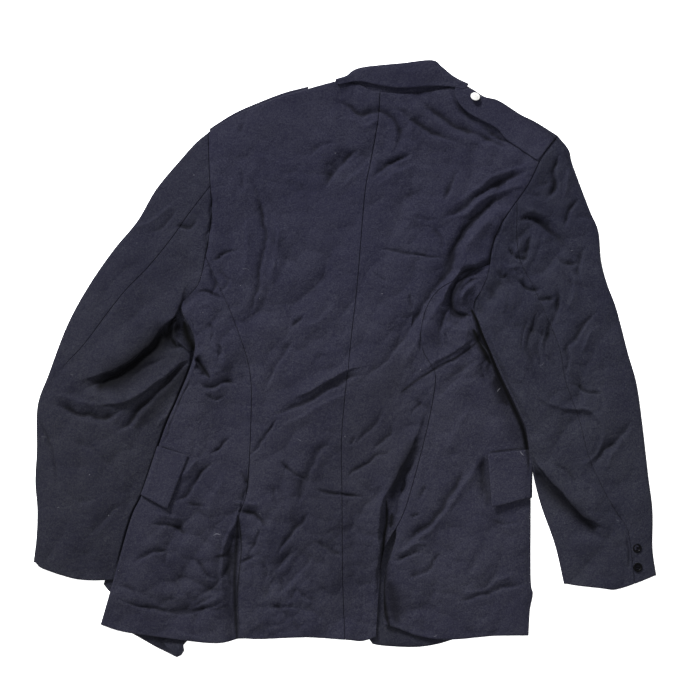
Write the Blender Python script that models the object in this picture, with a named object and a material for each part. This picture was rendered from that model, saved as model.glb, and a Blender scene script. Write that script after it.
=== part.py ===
# Uniform dress jacket, laid out flat and face down, so that its back is uppermost.
# Lengths in the tables are millimetres. +X is the jacket's right sleeve, +Y its collar,
# +Z away from the surface that it lies on. The origin is below the middle of its box.
#
# Each panel is drawn in plan between shared seam lines and given two heights: the top of the
# cloth and, one wall below it, its underside. Panels that turn over an edge of the jacket are
# rings: an upper run, a round fold and a lower run.

import math

import bmesh
import bpy
from mathutils import Matrix, Vector

MM = 0.001
CLOTH = 1.6          # wool cloth with its lining, one wall
SEAM = 0.2           # each panel stops this far short of a seam line
LAY = 0.6            # clearance of a piece that lies on a panel
STACK = 4.4          # height of two walls where a panel folds over an edge
CROWN = 5.2          # how far the cloth fills out away from its edges
ROLL = 35.0          # distance over which it does so
FOLD_STEPS = 3       # faces round a folded edge

LOW_ROWS = 20        # rows from the hem up to the armhole's junction with the side seam
ARM_UPPER = 5        # armhole, shoulder to side seam
ARM_LOWER = 5        # armhole, side seam to armpit
UNDER_COLS = 2       # columns of a side panel or under sleeve on the underside
ROW_BIAS = 0.85      # rows lie closer together towards the armpit
SLEEVE_ROWS = 13
FRONT_COLS = 6
NECK_LEFT = 3        # columns along the neck seam, left and right of the centre seam
NECK_RIGHT = 5

BUTTON_STRIP = 3.6   # the front stands this far up over its buttons
LAPEL_STEP = 1.9     # and this far over a lapel, collar leaf or strap
LAP_STEP = 2.2       # the right front lies this far over the left front
LIFT_LEFT = 8.5      # body's left edge over the left sleeve
LIFT_RIGHT = 7.5     # right sleeve over the body's right edge
OVERLAP = 22.0       # each front reaches this far past the centre
BREAK = -60.0        # height of the top button, where the lapels begin

# Seam and edge lines, each a row of (x, y) from the hem, cuff or neck end that its name gives first.
CENTRE_SEAM = ((0, -384), (-3, -300), (-4, -180), (-4, -100), (8, 20), (17, 100), (27, 220), (35, 265),
               (45, 320), (48, 360))
LEFT_SIDE_SEAM = ((-143, -382), (-147, -325), (-142, -265), (-144, -220), (-133, -180), (-128, -100),
                  (-129, -20), (-150, 48), (-173, 100), (-190, 136))
RIGHT_SIDE_SEAM = ((42, -380), (45, -335), (48, -295), (54, -260), (76, -220), (90, -180), (111, -100),
                   (121, -50), (123, -24), (115, -8), (107, 8), (105, 34), (110, 64), (126, 90),
                   (156, 110), (197, 126))
RIGHT_VENT_FRONT = ((53, -363), (53, -310), (58, -282), (68, -250))
LEFT_EDGE = ((-333, -364), (-314, -300), (-291, -220), (-273, -180), (-246, -100), (-229, -60),
             (-212, -20), (-204, 8), (-206, 30), (-214, 52), (-212, 68))
RIGHT_EDGE = ((250, -379), (252, -345), (256, -322), (253, -300), (254, -180), (250, -140), (246, -100),
              (240, -60), (226, -20), (206, 5), (186, 26), (172, 42), (169, 54), (174, 66))
LEFT_ARMHOLE = ((-186, 306), (-184, 250), (-181, 200), (-186, 156), (-190, 136), (-194, 114),
                (-199, 96), (-207, 82), (-212, 68))
RIGHT_ARMHOLE = ((290, 301), (270, 276), (249, 234), (223, 197), (209, 174), (200, 148), (197, 126),
                 (193, 108), (185, 90), (177, 78), (174, 66))
LEFT_SHOULDER = ((-186, 306), (-154, 326), (-126, 339), (-87, 354), (-45, 366), (-10, 376))
RIGHT_SHOULDER = ((160, 372), (176, 363), (190, 354), (209, 349), (239, 330), (261, 319), (290, 301))
NECK_SEAM = ((-10, 376), (18, 371), (35, 363), (48, 360), (80, 358), (102, 360), (129, 364), (160, 372))
COLLAR_FOLD = ((-13, 378), (2, 383), (11, 390), (28, 395), (78, 400), (118, 404), (132, 395), (148, 382),
               (168, 372))
COLLAR_EDGE = ((-11, 374), (3, 376), (22, 376), (41, 371), (61, 367), (84, 366), (132, 369), (166, 368))
BACK_HEM = ((-143, -382), (-109, -383), (-61, -381), (0, -384), (23, -386), (42, -380))
LEFT_SIDE_HEM = ((-333, -364), (-303, -373), (-241, -382), (-176, -389), (-143, -382))
RIGHT_SIDE_HEM = ((53, -363), (73, -369), (101, -379), (143, -384), (204, -379), (250, -379))
LEFT_FRONT_HEM = ((-283, -375), (-262, -391), (-236, -403.1), (-222, -403), (-205, -387), (-100, -379),
                  (22, -381))
RIGHT_FRONT_HEM = ((-22, -380), (28, -381), (40, -391), (90, -395), (125, -391), (160, -381), (200, -377))
LEFT_FRONT_SEAM = ((-283, -375), (-262, -300), (-240, -220), (-208, -140), (-180, -60), (-160, 10),
                   (-175, 60))
RIGHT_FRONT_SEAM = ((200, -377), (203, -300), (204, -180), (195, -100), (176, -20), (150, 30), (158, 70))
LEFT_SLEEVE_OUTER = ((-186, 306), (-203, 292), (-222, 271), (-257, 229), (-283, 185), (-316, 145),
                     (-351, 94), (-379, 42), (-404, -24), (-419, -67), (-420, -126), (-422, -170),
                     (-419, -209), (-420, -245), (-424, -279))
LEFT_SLEEVE_INNER = ((-212, 68), (-220, 60), (-223, 48), (-214, 33), (-199, 14), (-190, -8), (-198, -35),
                     (-214, -65), (-230, -100), (-258, -180), (-287, -260), (-304, -303))
RIGHT_SLEEVE_OUTER = ((290, 301), (305, 282), (310, 262), (333, 201), (345, 172), (349, 131), (357, 100),
                      (370, 65), (385, 7), (397, -35), (405, -90), (413, -160), (419, -210), (419, -261),
                      (424, -297))
RIGHT_SLEEVE_INNER = ((174, 66), (181, 56), (187, 40), (201, 7), (216, -29), (233, -66), (249, -97),
                      (254, -119), (256, -144), (259, -170), (268, -197), (286, -257), (298, -309))
LEFT_CUFF = ((-424, -279), (-412, -287), (-384, -297), (-355, -303), (-304, -303))
RIGHT_CUFF = ((424, -297), (394, -308), (368, -316), (347, -314), (298, -309))
LEFT_HIND_SEAM = ((-214, 192), (-235, 162), (-265, 125), (-298, 91), (-326, 56), (-356, 16), (-378, -7))
RIGHT_HIND_SEAM = ((236, 140), (258, 91), (290, 16), (299, -31), (318, -85), (333, -140), (363, -201),
                   (382, -230), (388, -254), (394, -306))

# Places where the underside stands up over what lies below it:
# centre x, centre y, half width, half height, how far up
FRONT_RISES = (
    ("buttons", 0, -160, 66, 185, BUTTON_STRIP),
    ("lapels and strap", 20, 190, 260, 250, LAPEL_STEP),
    ("strap button", -66, 346, 62, 60, 6.0),
    ("left flap", -190, -165, 125, 95, LAPEL_STEP + LAY),
    ("right flap", 190, -165, 105, 95, LAPEL_STEP + LAY),
)
SLEEVE_RISES = (("cuff buttons", -402, -272, 80, 80, 2.9),)
RISE_MARGIN = 30.0   # width of the slope round each rise, inside its size
COVER = 18.0         # the upper layer stands clear this far outside each rise

# Main folds: x and y of the two ends, sideways bow at the middle, height (minus for a trough), half width
FOLDS = (
    ("back diagonal ridge", 236, 190, 70, -5, 10, 3.2, 26),
    ("back diagonal trough", 205, 172, 58, 5, 8, -2.6, 17),
    ("waist trough", 20, -25, -95, -78, -6, -2.4, 16),
    ("waist ridge", 30, -45, -80, -95, -6, 2.4, 20),
    ("shoulder blade trough", -118, 215, -136, 65, 10, -2.6, 16),
    ("shoulder blade ridge", -92, 210, -105, 60, 8, 2.2, 22),
    ("right vent ridge", 105, -105, 34, -375, -34, 3.6, 15),
    ("right side ridge", 185, -150, 85, -262, 4, 3.0, 20),
    ("right side trough", 158, -165, 76, -260, 4, -2.2, 12),
    ("left side ridge", -176, -160, -236, -196, 0, 2.2, 16),
    ("right armpit bulge", 180, 30, 142, 42, 4, 3.4, 24),
    ("left sleeve upper ridge", -205, 122, -290, 14, 8, 4.0, 22),
    ("left sleeve upper trough", -228, 50, -360, -50, 12, -4.0, 17),
    ("left sleeve middle ridge", -228, 0, -345, -62, 6, 3.2, 20),
    ("left sleeve lower trough", -214, -10, -312, -106, 8, -3.6, 17),
    ("left elbow trough", -404, -64, -296, -72, -14, -3.0, 15),
    ("right sleeve ridge", 300, 100, 286, -15, 6, 3.0, 22),
    ("right sleeve trough", 262, 175, 330, 120, 8, -2.6, 16),
    ("right elbow ridge", 250, -40, 340, -70, -16, 3.0, 22),
    ("right elbow trough", 392, -86, 330, -160, 4, -3.0, 16),
)


def ease(share):
    """0 below 0, 1 above 1 and a soft slope between."""
    share = min(max(share, 0.0), 1.0)
    return share * share * (3.0 - 2.0 * share)


# ---------------------------------------------------------------- seam and edge lines

def smooth(points, steps=10):
    """A soft line through the points, as closely spaced points."""
    pts = [Vector(p) for p in points]
    pts = [pts[0] * 2 - pts[1]] + pts + [pts[-1] * 2 - pts[-2]]
    line = []
    for a, b, c, d in zip(pts, pts[1:], pts[2:], pts[3:]):
        for k in range(steps):
            t = k / steps
            line.append(0.5 * (2 * b + (c - a) * t + (2 * a - 5 * b + 4 * c - d) * t * t
                               + (3 * b - 3 * c + d - a) * t * t * t))
    line.append(pts[-2])
    return line


def spread(line, count, bias=1.0):
    """count + 1 points along a line, evenly spaced by length where bias is 1."""
    reach = [0.0]
    for a, b in zip(line, line[1:]):
        reach.append(reach[-1] + (b - a).length)
    out = []
    k = 0
    for n in range(count + 1):
        goal = reach[-1] * (n / count) ** bias
        while k < len(line) - 2 and reach[k + 1] < goal:
            k += 1
        t = (goal - reach[k]) / max(reach[k + 1] - reach[k], 1e-9)
        out.append(line[k].lerp(line[k + 1], min(t, 1.0)))
    return out


def run(points, count, bias=1.0):
    return spread(smooth(points), count, bias)


def run_split(points, height, first, second, bias=1.0):
    """A run in two stretches that meet where the line crosses a height."""
    line = smooth(points)
    start = line[0].y > height
    cut = next(k for k, p in enumerate(line) if (p.y > height) != start)
    t = (height - line[cut - 1].y) / (line[cut].y - line[cut - 1].y)
    joint = line[cut - 1].lerp(line[cut], t)
    return spread(line[:cut] + [joint], first, bias) + spread([joint] + line[cut:], second)[1:]


centre_seam = run_split(CENTRE_SEAM, 132, LOW_ROWS, ARM_UPPER, ROW_BIAS)
left_seam = run(LEFT_SIDE_SEAM, LOW_ROWS, ROW_BIAS)
right_seam = run(RIGHT_SIDE_SEAM, LOW_ROWS, ROW_BIAS)
left_edge = run(LEFT_EDGE, LOW_ROWS, ROW_BIAS)
right_edge = run(RIGHT_EDGE, LOW_ROWS, ROW_BIAS)
left_arm = run_split(LEFT_ARMHOLE, 136, ARM_UPPER, ARM_LOWER)
right_arm = run_split(RIGHT_ARMHOLE, 126, ARM_UPPER, ARM_LOWER)
neck_left = run(NECK_SEAM[:4], NECK_LEFT)
neck_right = run(NECK_SEAM[3:], NECK_RIGHT)
ARM_COLS = ARM_UPPER + ARM_LOWER
FRONT_JOIN = ARM_COLS - UNDER_COLS   # armhole point where a front's side seam meets it
FRONT_ROWS = LOW_ROWS + FRONT_JOIN

body_lines = [smooth(p, 4) for p in (LEFT_SHOULDER, COLLAR_FOLD, RIGHT_SHOULDER, LEFT_SLEEVE_OUTER,
                                     RIGHT_SLEEVE_OUTER, LEFT_EDGE, RIGHT_EDGE)]
sleeve_lines = {
    "left": [smooth(p, 4) for p in (LEFT_SHOULDER, LEFT_SLEEVE_OUTER)],
    "right": [smooth(p, 4) for p in (RIGHT_SHOULDER, RIGHT_SLEEVE_OUTER)],
}
inner_lines = {"left": [smooth(LEFT_SLEEVE_INNER, 4)], "right": [smooth(RIGHT_SLEEVE_INNER, 4)]}
edge_tables = {"left": smooth(LEFT_EDGE), "right": smooth(RIGHT_SLEEVE_INNER)}


def across(line, height):
    """x of an upright line at a height."""
    for a, b in zip(line, line[1:]):
        if (a.y - height) * (b.y - height) <= 0 and a.y != b.y:
            return a.x + (b.x - a.x) * (height - a.y) / (b.y - a.y)
    return line[0].x if abs(line[0].y - height) < abs(line[-1].y - height) else line[-1].x


def nearest(p, lines):
    """Distance from a point to the nearest of some lines."""
    best = 1e9
    for line in lines:
        for a, b in zip(line, line[1:]):
            ab = b - a
            t = min(max((p - a).dot(ab) / max(ab.length_squared, 1e-9), 0.0), 1.0)
            best = min(best, (a + ab * t - p).length_squared)
    return math.sqrt(best)


# ---------------------------------------------------------------- heights of the cloth

def rise(p, table, wider=0.0):
    """How far the underside stands up at a point, from a table of rises."""
    up = 0.0
    for _, x, y, half_x, half_y, height in table:
        reach_x = ease((half_x + wider - abs(p.x - x)) / RISE_MARGIN)
        reach_y = ease((half_y + wider - abs(p.y - y)) / RISE_MARGIN)
        up = max(up, height * reach_x * reach_y)
    return up


def body_lift(p):
    """The body's left edge rides over the left sleeve."""
    inside = p.x - across(edge_tables["left"], p.y)
    along = ease((66 - p.y) / 22) * ease((p.y + 358) / 40)
    return LIFT_LEFT * ease((84 - inside) / 52) * along


def sleeve_lift(p, side):
    """The right sleeve's inner edge rides over the body's right edge."""
    if side == "left":
        return 0.0
    inside = p.x - across(edge_tables["right"], p.y)
    along = ease((62 - p.y) / 22) * ease((p.y + 165) / 50)
    return LIFT_RIGHT * ease((72 - inside) / 48) * along


def fold(p):
    """Height of the main folds at a point."""
    up = 0.0
    for _, x0, y0, x1, y1, bow, height, half in FOLDS:
        a, b = Vector((x0, y0)), Vector((x1, y1))
        along = b - a
        t = (p - a).dot(along) / along.length_squared
        side = (p - a).dot(Vector((-along.y, along.x)).normalized()) - 4 * bow * t * (1 - t)
        ends = ease(t / 0.3 + 0.3) * ease((1 - t) / 0.3 + 0.3) if -0.1 < t < 1.1 else 0.0
        up += height * math.exp(-(side / half) ** 2) * ends
    return up


def shoulder_pad(p):
    """Fullness of the padded shoulders and sleeve heads, 0 to 1."""
    left = math.exp(-((p.x + 178) / 55) ** 2 - ((p.y - 250) / 60) ** 2)
    right = math.exp(-((p.x - 258) / 55) ** 2 - ((p.y - 262) / 60) ** 2)
    return left + right


def lapped(p):
    """1 where the right front lies on the left front, 0 clear of it."""
    middle = across(centre_seam, p.y)
    return ease((OVERLAP + 52 - (p.x - middle)) / 34) * ease((80 - p.y) / 34)


def body_floor(p):
    return body_lift(p) + rise(p, FRONT_RISES)


def body_top(p):
    away = nearest(p, body_lines)
    full = 1 - math.exp(-away / ROLL)
    flat_hem = 0.55 + 0.45 * ease((p.y + 385) / 90)
    bump = rise(p, FRONT_RISES, COVER)
    up = STACK + CROWN * full * flat_hem + bump * (1 - full) + body_lift(p)
    up += full * (fold(p) + 5.0 * shoulder_pad(p))
    overlap = LAP_STEP if abs(p.x - across(centre_seam, p.y)) < 80 and p.y < 80 else 0.0
    return max(up, bump + body_lift(p) + CLOTH + body_wall(p) + 0.6 + overlap)


def body_wall(p):
    """Wall of a back or front: thicker at the padded shoulder and along its seam."""
    seam = nearest(p, (body_lines[0], body_lines[2]))
    return CLOTH + 2.0 * shoulder_pad(p) * (1 - math.exp(-seam / 20)) + 0.9 * math.exp(-seam / 14)


def sleeve_floor(p, side):
    return sleeve_lift(p, side) + (rise(p, SLEEVE_RISES) if side == "left" else 0.0)


def sleeve_top(p, side):
    inner = nearest(p, inner_lines[side])
    if side == "left":
        inner = max(0.0, inner - 24 * ease((64 - p.y) / 24))
    away = min(inner, nearest(p, sleeve_lines[side]))
    full = 1 - math.exp(-away / ROLL)
    flat_cuff = 0.6 + 0.4 * ease((p.y + 305) / 80)
    up = STACK + (CROWN + 1.5 * ease((100 - p.y) / 100)) * full * flat_cuff + sleeve_lift(p, side)
    up += rise(p, SLEEVE_RISES if side == "left" else ()) * (1 - full)
    up += full * (fold(p) + 5.0 * shoulder_pad(p))
    return max(up, sleeve_floor(p, side) + 2 * CLOTH + 0.5)


# ---------------------------------------------------------------- plan grids

def plan_grid(left, right, bottom, top, rounds=60):
    """Rows of plan points between four edges; left and right run up, bottom and top run across."""
    rows, cols = len(left) - 1, len(bottom) - 1
    grid = [[None] * (cols + 1) for _ in range(rows + 1)]
    for j in range(rows + 1):
        v = j / rows
        for i in range(cols + 1):
            u = i / cols
            corners = ((1 - u) * (1 - v) * bottom[0] + u * (1 - v) * bottom[-1]
                       + (1 - u) * v * top[0] + u * v * top[-1])
            grid[j][i] = ((1 - v) * bottom[i] + v * top[i] + (1 - u) * left[j] + u * right[j] - corners)
    for _ in range(rounds):
        for j in range(1, rows):
            for i in range(1, cols):
                below, at, above = grid[j - 1], grid[j], grid[j + 1]
                sideways = (at[i + 1] - at[i - 1]) / 2
                upward = (above[i] - below[i]) / 2
                skew = (above[i + 1] - above[i - 1] - below[i + 1] + below[i - 1]) / 4
                a, c = upward.length_squared, sideways.length_squared
                settled = a * (at[i - 1] + at[i + 1]) + c * (below[i] + above[i])
                settled = (settled - 2 * sideways.dot(upward) * skew) / (2 * (a + c))
                at[i] = at[i].lerp(settled, 0.8)
    return grid


def shrink(grid, amount=SEAM, sides="lrbt"):
    """The same grid with the named sides drawn in, so that sewn panels stay apart."""
    rows, cols = len(grid) - 1, len(grid[0]) - 1
    turned = {"b": Vector((0, 1)), "t": Vector((0, -1)), "l": Vector((1, 0)), "r": Vector((-1, 0))}
    out = [list(row) for row in grid]
    for side in sides:
        for k in range((cols if side in "bt" else rows) + 1):
            j, i = {"b": (0, k), "t": (rows, k), "l": (k, 0), "r": (k, cols)}[side]
            if side in "bt":
                before, after = (j, max(i - 1, 0)), (j, min(i + 1, cols))
            else:
                before, after = (max(j - 1, 0), i), (min(j + 1, rows), i)
            tangent = grid[after[0]][after[1]] - grid[before[0]][before[1]]
            normal = Vector((-tangent.y, tangent.x)).normalized()
            step_j, step_i = int(turned[side].y), int(turned[side].x)
            inward = sum((grid[y + step_j][x + step_i] - grid[y][x] for y, x in (before, after)), Vector((0, 0)))
            out[j][i] = out[j][i] + normal * (amount if normal.dot(inward) > 0 else -amount)
    return out


# ---------------------------------------------------------------- closed cloth walls

def make_object(name, mesh, material):
    mesh.materials.append(material)
    obj = bpy.data.objects.new(name, mesh)
    bpy.context.collection.objects.link(obj)
    return obj


def cloth_wall(name, outer, inner, material):
    """One closed wall between two grids of points of the same size, in millimetres."""
    bm = bmesh.new()
    rows, cols = len(outer) - 1, len(outer[0]) - 1
    faces = [[[bm.verts.new(Vector(p) * MM) for p in row] for row in grid] for grid in (outer, inner)]
    for sheet in faces:
        for j in range(rows):
            for i in range(cols):
                bm.faces.new((sheet[j][i], sheet[j][i + 1], sheet[j + 1][i + 1], sheet[j + 1][i]))
    a, b = faces
    for i in range(cols):
        for j in (0, rows):
            bm.faces.new((a[j][i], a[j][i + 1], b[j][i + 1], b[j][i]))
    for j in range(rows):
        for i in (0, cols):
            bm.faces.new((a[j][i], a[j + 1][i], b[j + 1][i], b[j][i]))
    bmesh.ops.recalc_face_normals(bm, faces=bm.faces)
    mesh = bpy.data.meshes.new(name)
    bm.to_mesh(mesh)
    bm.free()
    return make_object(name, mesh, material)


def raised(p, z):
    return (p.x, p.y, z)


def flat_wall(name, grid, top, material, wall=lambda p: CLOTH):
    """A panel that lies on one side of the jacket; top gives the height of its upper face."""
    outer = [[raised(p, top(p)) for p in row] for row in grid]
    inner = [[raised(p, top(p) - wall(p)) for p in row] for row in grid]
    return cloth_wall(name, outer, inner, material)


def edge_normals(rows):
    """Inward directions along an edge whose points are the ends of the rows."""
    normals = []
    for k, row in enumerate(rows):
        before, after = rows[max(k - 1, 0)], rows[min(k + 1, len(rows) - 1)]
        tangent = after[-1] - before[-1]
        normal = Vector((-tangent.y, tangent.x)).normalized()
        inside = before[-3] + after[-3] - before[-1] - after[-1]
        normals.append(normal if normal.dot(inside) > 0 else -normal)
    return normals


def fold_round(edge, inward, high, low, radius):
    """Points of a round fold from its high side to its low side."""
    middle = edge + inward * (high - low) / 2
    points = []
    for k in range(FOLD_STEPS + 1):
        turn = math.pi * (0.5 - k / FOLD_STEPS)
        at = middle - inward * radius * math.cos(turn)
        points.append((at.x, at.y, (high + low) / 2 + radius * math.sin(turn)))
    return points


def wrapped_wall(name, upper, lower, top, floor, material, off=0.0, sewn_start=False):
    """A panel that turns over an edge: upper rows run to the edge, lower rows start at it.
    off lays it on another panel of the same heights, that far outside it. sewn_start keeps
    the first row's fold in line with the seam it is sewn to."""
    inward = edge_normals(upper)
    if sewn_start:
        inward[0] = (upper[0][-2] - upper[0][-1]).normalized()
    outer, inner = [], []
    for k, (above, below) in enumerate(zip(upper, lower)):
        edge = above[-1]
        high, low = top(edge), floor(edge)
        radius = (high - low) / 2
        lay = off + CLOTH if off else 0.0
        outer.append([raised(p, top(p) + lay) for p in above[:-1]]
                     + fold_round(edge, inward[k], high, low, radius + lay)
                     + [raised(p, floor(p) - lay) for p in below[1:]])
        inner.append([raised(p, top(p) + lay - CLOTH) for p in above[:-1]]
                     + fold_round(edge, inward[k], high, low, radius + lay - CLOTH)
                     + [raised(p, floor(p) - lay + CLOTH) for p in below[1:]])
    return cloth_wall(name, outer, inner, material)


# ---------------------------------------------------------------- materials

def finish(name, colour, roughness, metallic=0.0):
    material = bpy.data.materials.new(name)
    material.use_nodes = True
    shader = material.node_tree.nodes["Principled BSDF"]
    shader.inputs["Base Color"].default_value = (*colour, 1.0)
    shader.inputs["Roughness"].default_value = roughness
    shader.inputs["Metallic"].default_value = metallic
    return material


# ---------------------------------------------------------------- body

def build_backs(wool):
    left = left_seam + left_arm[ARM_UPPER - 1::-1]
    top = run(LEFT_SHOULDER, 5) + neck_left[1:]
    bottom = run(BACK_HEM[:4], len(top) - 1)
    grid = shrink(plan_grid(left, centre_seam, bottom, top), sides="lrt")
    flat_wall("back_left", grid, vent_top_left, wool, body_wall)

    right = right_seam + right_arm[ARM_UPPER - 1::-1]
    top = neck_right + run(RIGHT_SHOULDER, 4)[1:]
    bottom = run(BACK_HEM[3:], len(top) - 1)
    grid = shrink(plan_grid(centre_seam, right, bottom, top), sides="lrt")
    flat_wall("back_right", grid, body_top, wool, body_wall)


VENT_TOP_LEFT = -218.0
UNDERLAP = 28.0      # the side panel's width under the back at the left vent
VENT_STEP = 2.6      # and the back's height over it


def vent_top_left(p):
    """The back's edge rides over the side panel's underlap below the left vent's top."""
    inside = p.x - across(left_seam, p.y)
    return body_top(p) + VENT_STEP * ease((95 - inside) / 55) * ease((VENT_TOP_LEFT + 40 - p.y) / 24)


def build_sides(wool):
    hem_line = smooth(LEFT_SIDE_HEM)
    seam = [Vector(p) for p in left_seam]
    for k, p in enumerate(seam):
        seam[k] = p + Vector((UNDERLAP * ease((VENT_TOP_LEFT - 14 - p.y) / 20), 0))
    hem = spread(hem_line, ARM_LOWER)
    hem[-1] = seam[0]
    upper = shrink(plan_grid(seam, left_edge, hem[::-1], left_arm[ARM_UPPER:]), sides="lt")
    arm = left_arm[:FRONT_JOIN - 1:-1]
    seam_under = run(LEFT_FRONT_SEAM + (tuple(left_arm[FRONT_JOIN]),), LOW_ROWS, ROW_BIAS)
    hem_under = spread([left_edge[0], seam_under[0]], UNDER_COLS)
    lower = shrink(plan_grid(left_edge, seam_under, hem_under, arm), sides="rt")
    wrapped_wall("side_left", upper, lower, body_top, body_floor, wool)

    seam = [Vector(p) for p in right_seam]
    vent = run(RIGHT_VENT_FRONT + (tuple(right_seam[6]),), 6)
    seam[:6] = vent[:6]
    hem = run(RIGHT_SIDE_HEM, ARM_LOWER)
    upper = shrink(plan_grid(seam, right_edge, hem, right_arm[ARM_UPPER:]), sides="lt")
    arm = right_arm[:FRONT_JOIN - 1:-1]
    seam_under = run(RIGHT_FRONT_SEAM + (tuple(right_arm[FRONT_JOIN]),), LOW_ROWS, ROW_BIAS)
    hem_under = spread([right_edge[0], seam_under[0]], UNDER_COLS)
    lower = shrink(plan_grid(right_edge, seam_under, hem_under, arm), sides="rt")
    wrapped_wall("side_right", upper, lower, body_top, body_floor, wool)


def front_edge(sign, neck):
    """Inner edge of a front: straight past the centre, then along the lapel's roll to the neck."""
    low = [p + Vector((sign * OVERLAP, 0)) for p in centre_seam if p.y < BREAK - 20]
    turn = Vector((across(centre_seam, BREAK) + sign * OVERLAP, BREAK))
    return spread(low + [turn], 12) + spread([turn, Vector(neck)], FRONT_ROWS - 12)[1:]


def right_front_floor(p):
    return body_floor(p) + LAP_STEP * lapped(p)


def build_fronts(wool):
    seam = run(LEFT_FRONT_SEAM + (tuple(left_arm[FRONT_JOIN]),), LOW_ROWS, ROW_BIAS)
    left = seam + left_arm[FRONT_JOIN - 1::-1]
    right = front_edge(1, (-10, 376))
    grid = plan_grid(left, right, run(LEFT_FRONT_HEM, FRONT_COLS), run(LEFT_SHOULDER, FRONT_COLS))
    grid = shrink(grid, sides="l")
    flat_wall("front_left", grid, lambda p: body_floor(p) + CLOTH, wool)

    seam = run(RIGHT_FRONT_SEAM + (tuple(right_arm[FRONT_JOIN]),), LOW_ROWS, ROW_BIAS)
    right = seam + right_arm[FRONT_JOIN - 1::-1]
    left = front_edge(-1, (160, 372))
    grid = plan_grid(left, right, run(RIGHT_FRONT_HEM, FRONT_COLS), run(RIGHT_SHOULDER, FRONT_COLS))
    grid = shrink(grid, sides="r")
    flat_wall("front_right", grid, lambda p: right_front_floor(p) + CLOTH, wool)


# ---------------------------------------------------------------- sleeves

def crossing(row, line):
    """How far along a row of points a line crosses it, in columns, or None."""
    for k, (a, b) in enumerate(zip(row, row[1:])):
        for c, d in zip(line, line[1:]):
            ab, cd = b - a, d - c
            under = ab.x * cd.y - ab.y * cd.x
            if abs(under) < 1e-9:
                continue
            s = ((c - a).x * cd.y - (c - a).y * cd.x) / under
            t = ((c - a).x * ab.y - (c - a).y * ab.x) / under
            if 0 <= s <= 1 and 0 <= t <= 1:
                return k + s
    return None


def along_row(row, where):
    k = min(int(where), len(row) - 2)
    return row[k].lerp(row[k + 1], where - k)


def build_sleeve(side, outer_edge, inner_edge, cuff, arm, hind, start, wool):
    """A flattened tube in two panels: the top sleeve turns over the outer edge,
    the under sleeve over the inner edge, and they meet at the hind seam on the upper side."""
    outer_line = run(outer_edge, SLEEVE_ROWS, 1.25)
    inner_line = run(inner_edge, SLEEVE_ROWS, 1.25)
    plan = plan_grid(outer_line, inner_line, arm, run(cuff, ARM_COLS))
    seam_line = smooth((tuple(arm[start]),) + hind)
    where = []
    for j, row in enumerate(plan):
        found = start if j == 0 else crossing(row, seam_line)
        if found is None:
            found = 0.0 if side == "left" else where[-1]
        narrowest = (STACK + 3.0) / (row[1] - row[0]).length
        where.append(max(found, narrowest))

    def cut(first, last, cols):
        return [[along_row(row, a + (b - a) * k / cols) for k in range(cols + 1)]
                for row, a, b in zip(plan, first, last)]

    fore = [float(FRONT_JOIN)] * len(plan)
    ends = [float(ARM_COLS)] * len(plan)
    zeros = [0.0] * len(plan)
    top = lambda p: sleeve_top(p, side)
    floor = lambda p: sleeve_floor(p, side)

    upper = shrink(cut(where, zeros, start), sides="lb")
    lower = shrink(cut(zeros, fore, FRONT_JOIN), sides="rb")
    wrapped_wall("sleeve_top_" + side, upper, lower, top, floor, wool, sewn_start=True)
    upper = shrink(cut(where, ends, ARM_COLS - start), sides="lb")
    lower = shrink(cut(ends, fore, UNDER_COLS), sides="rb")
    wrapped_wall("sleeve_under_" + side, upper, lower, top, floor, wool)


# ---------------------------------------------------------------- collar, lapels, straps and flaps

def collar_height(p):
    return body_top(p) + 2.8


def collar_floor(p):
    return body_top(p) - CLOTH


def build_collar(wool):
    neck = neck_left + neck_right[1:]
    cols = len(neck) - 1
    fold_line = run(COLLAR_FOLD, cols)
    fall = [[a.lerp(b, k / 2) for k in range(3)] for a, b in zip(run(COLLAR_EDGE, cols), fold_line)]
    stand = [[a.lerp(b, k / 2) for k in range(3)] for a, b in zip(fold_line, neck)]
    stand = shrink(stand, 0.26, sides="r")
    wrapped_wall("collar", fall, stand, collar_height, collar_floor, wool)


def under_sheet(name, left, right, cols, material, base=lambda p: 0.0):
    """A flat piece that lies against the surface, between two edges of equal count."""
    grid = [[a.lerp(b, k / cols) for k in range(cols + 1)] for a, b in zip(left, right)]
    return flat_wall(name, grid, lambda p: base(p) + CLOTH, material)


def build_lapels(wool):
    left_roll = ((20, -52), (-6, 300))
    right_roll = ((26, 50), (126, 296))
    under_sheet("lapel_left", run(((14, -54), (-34, 60), (-74, 190), (-90, 262)), 8),
                run(left_roll, 8), 3, wool)
    under_sheet("lapel_right", run(right_roll, 8),
                run(((34, 50), (96, 120), (166, 200), (212, 262)), 8), 3, wool)
    under_sheet("collar_leaf_left", run(((-54, 296), (-44, 330), (-36, 362)), 4),
                run(((-6, 306), (-9, 340), (-11, 369)), 4), 2, wool)
    under_sheet("collar_leaf_right", run(((130, 301), (146, 340), (156, 365)), 4),
                run(((184, 282), (192, 310), (182, 350)), 4), 2, wool)


def on_back(p):
    return body_top(p) + LAY + CLOTH


def strap_rest(p):
    """The hidden strap stands up over its own button."""
    return rise(p, (("button", -66, 346, 44, 42, 4.0),))


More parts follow.
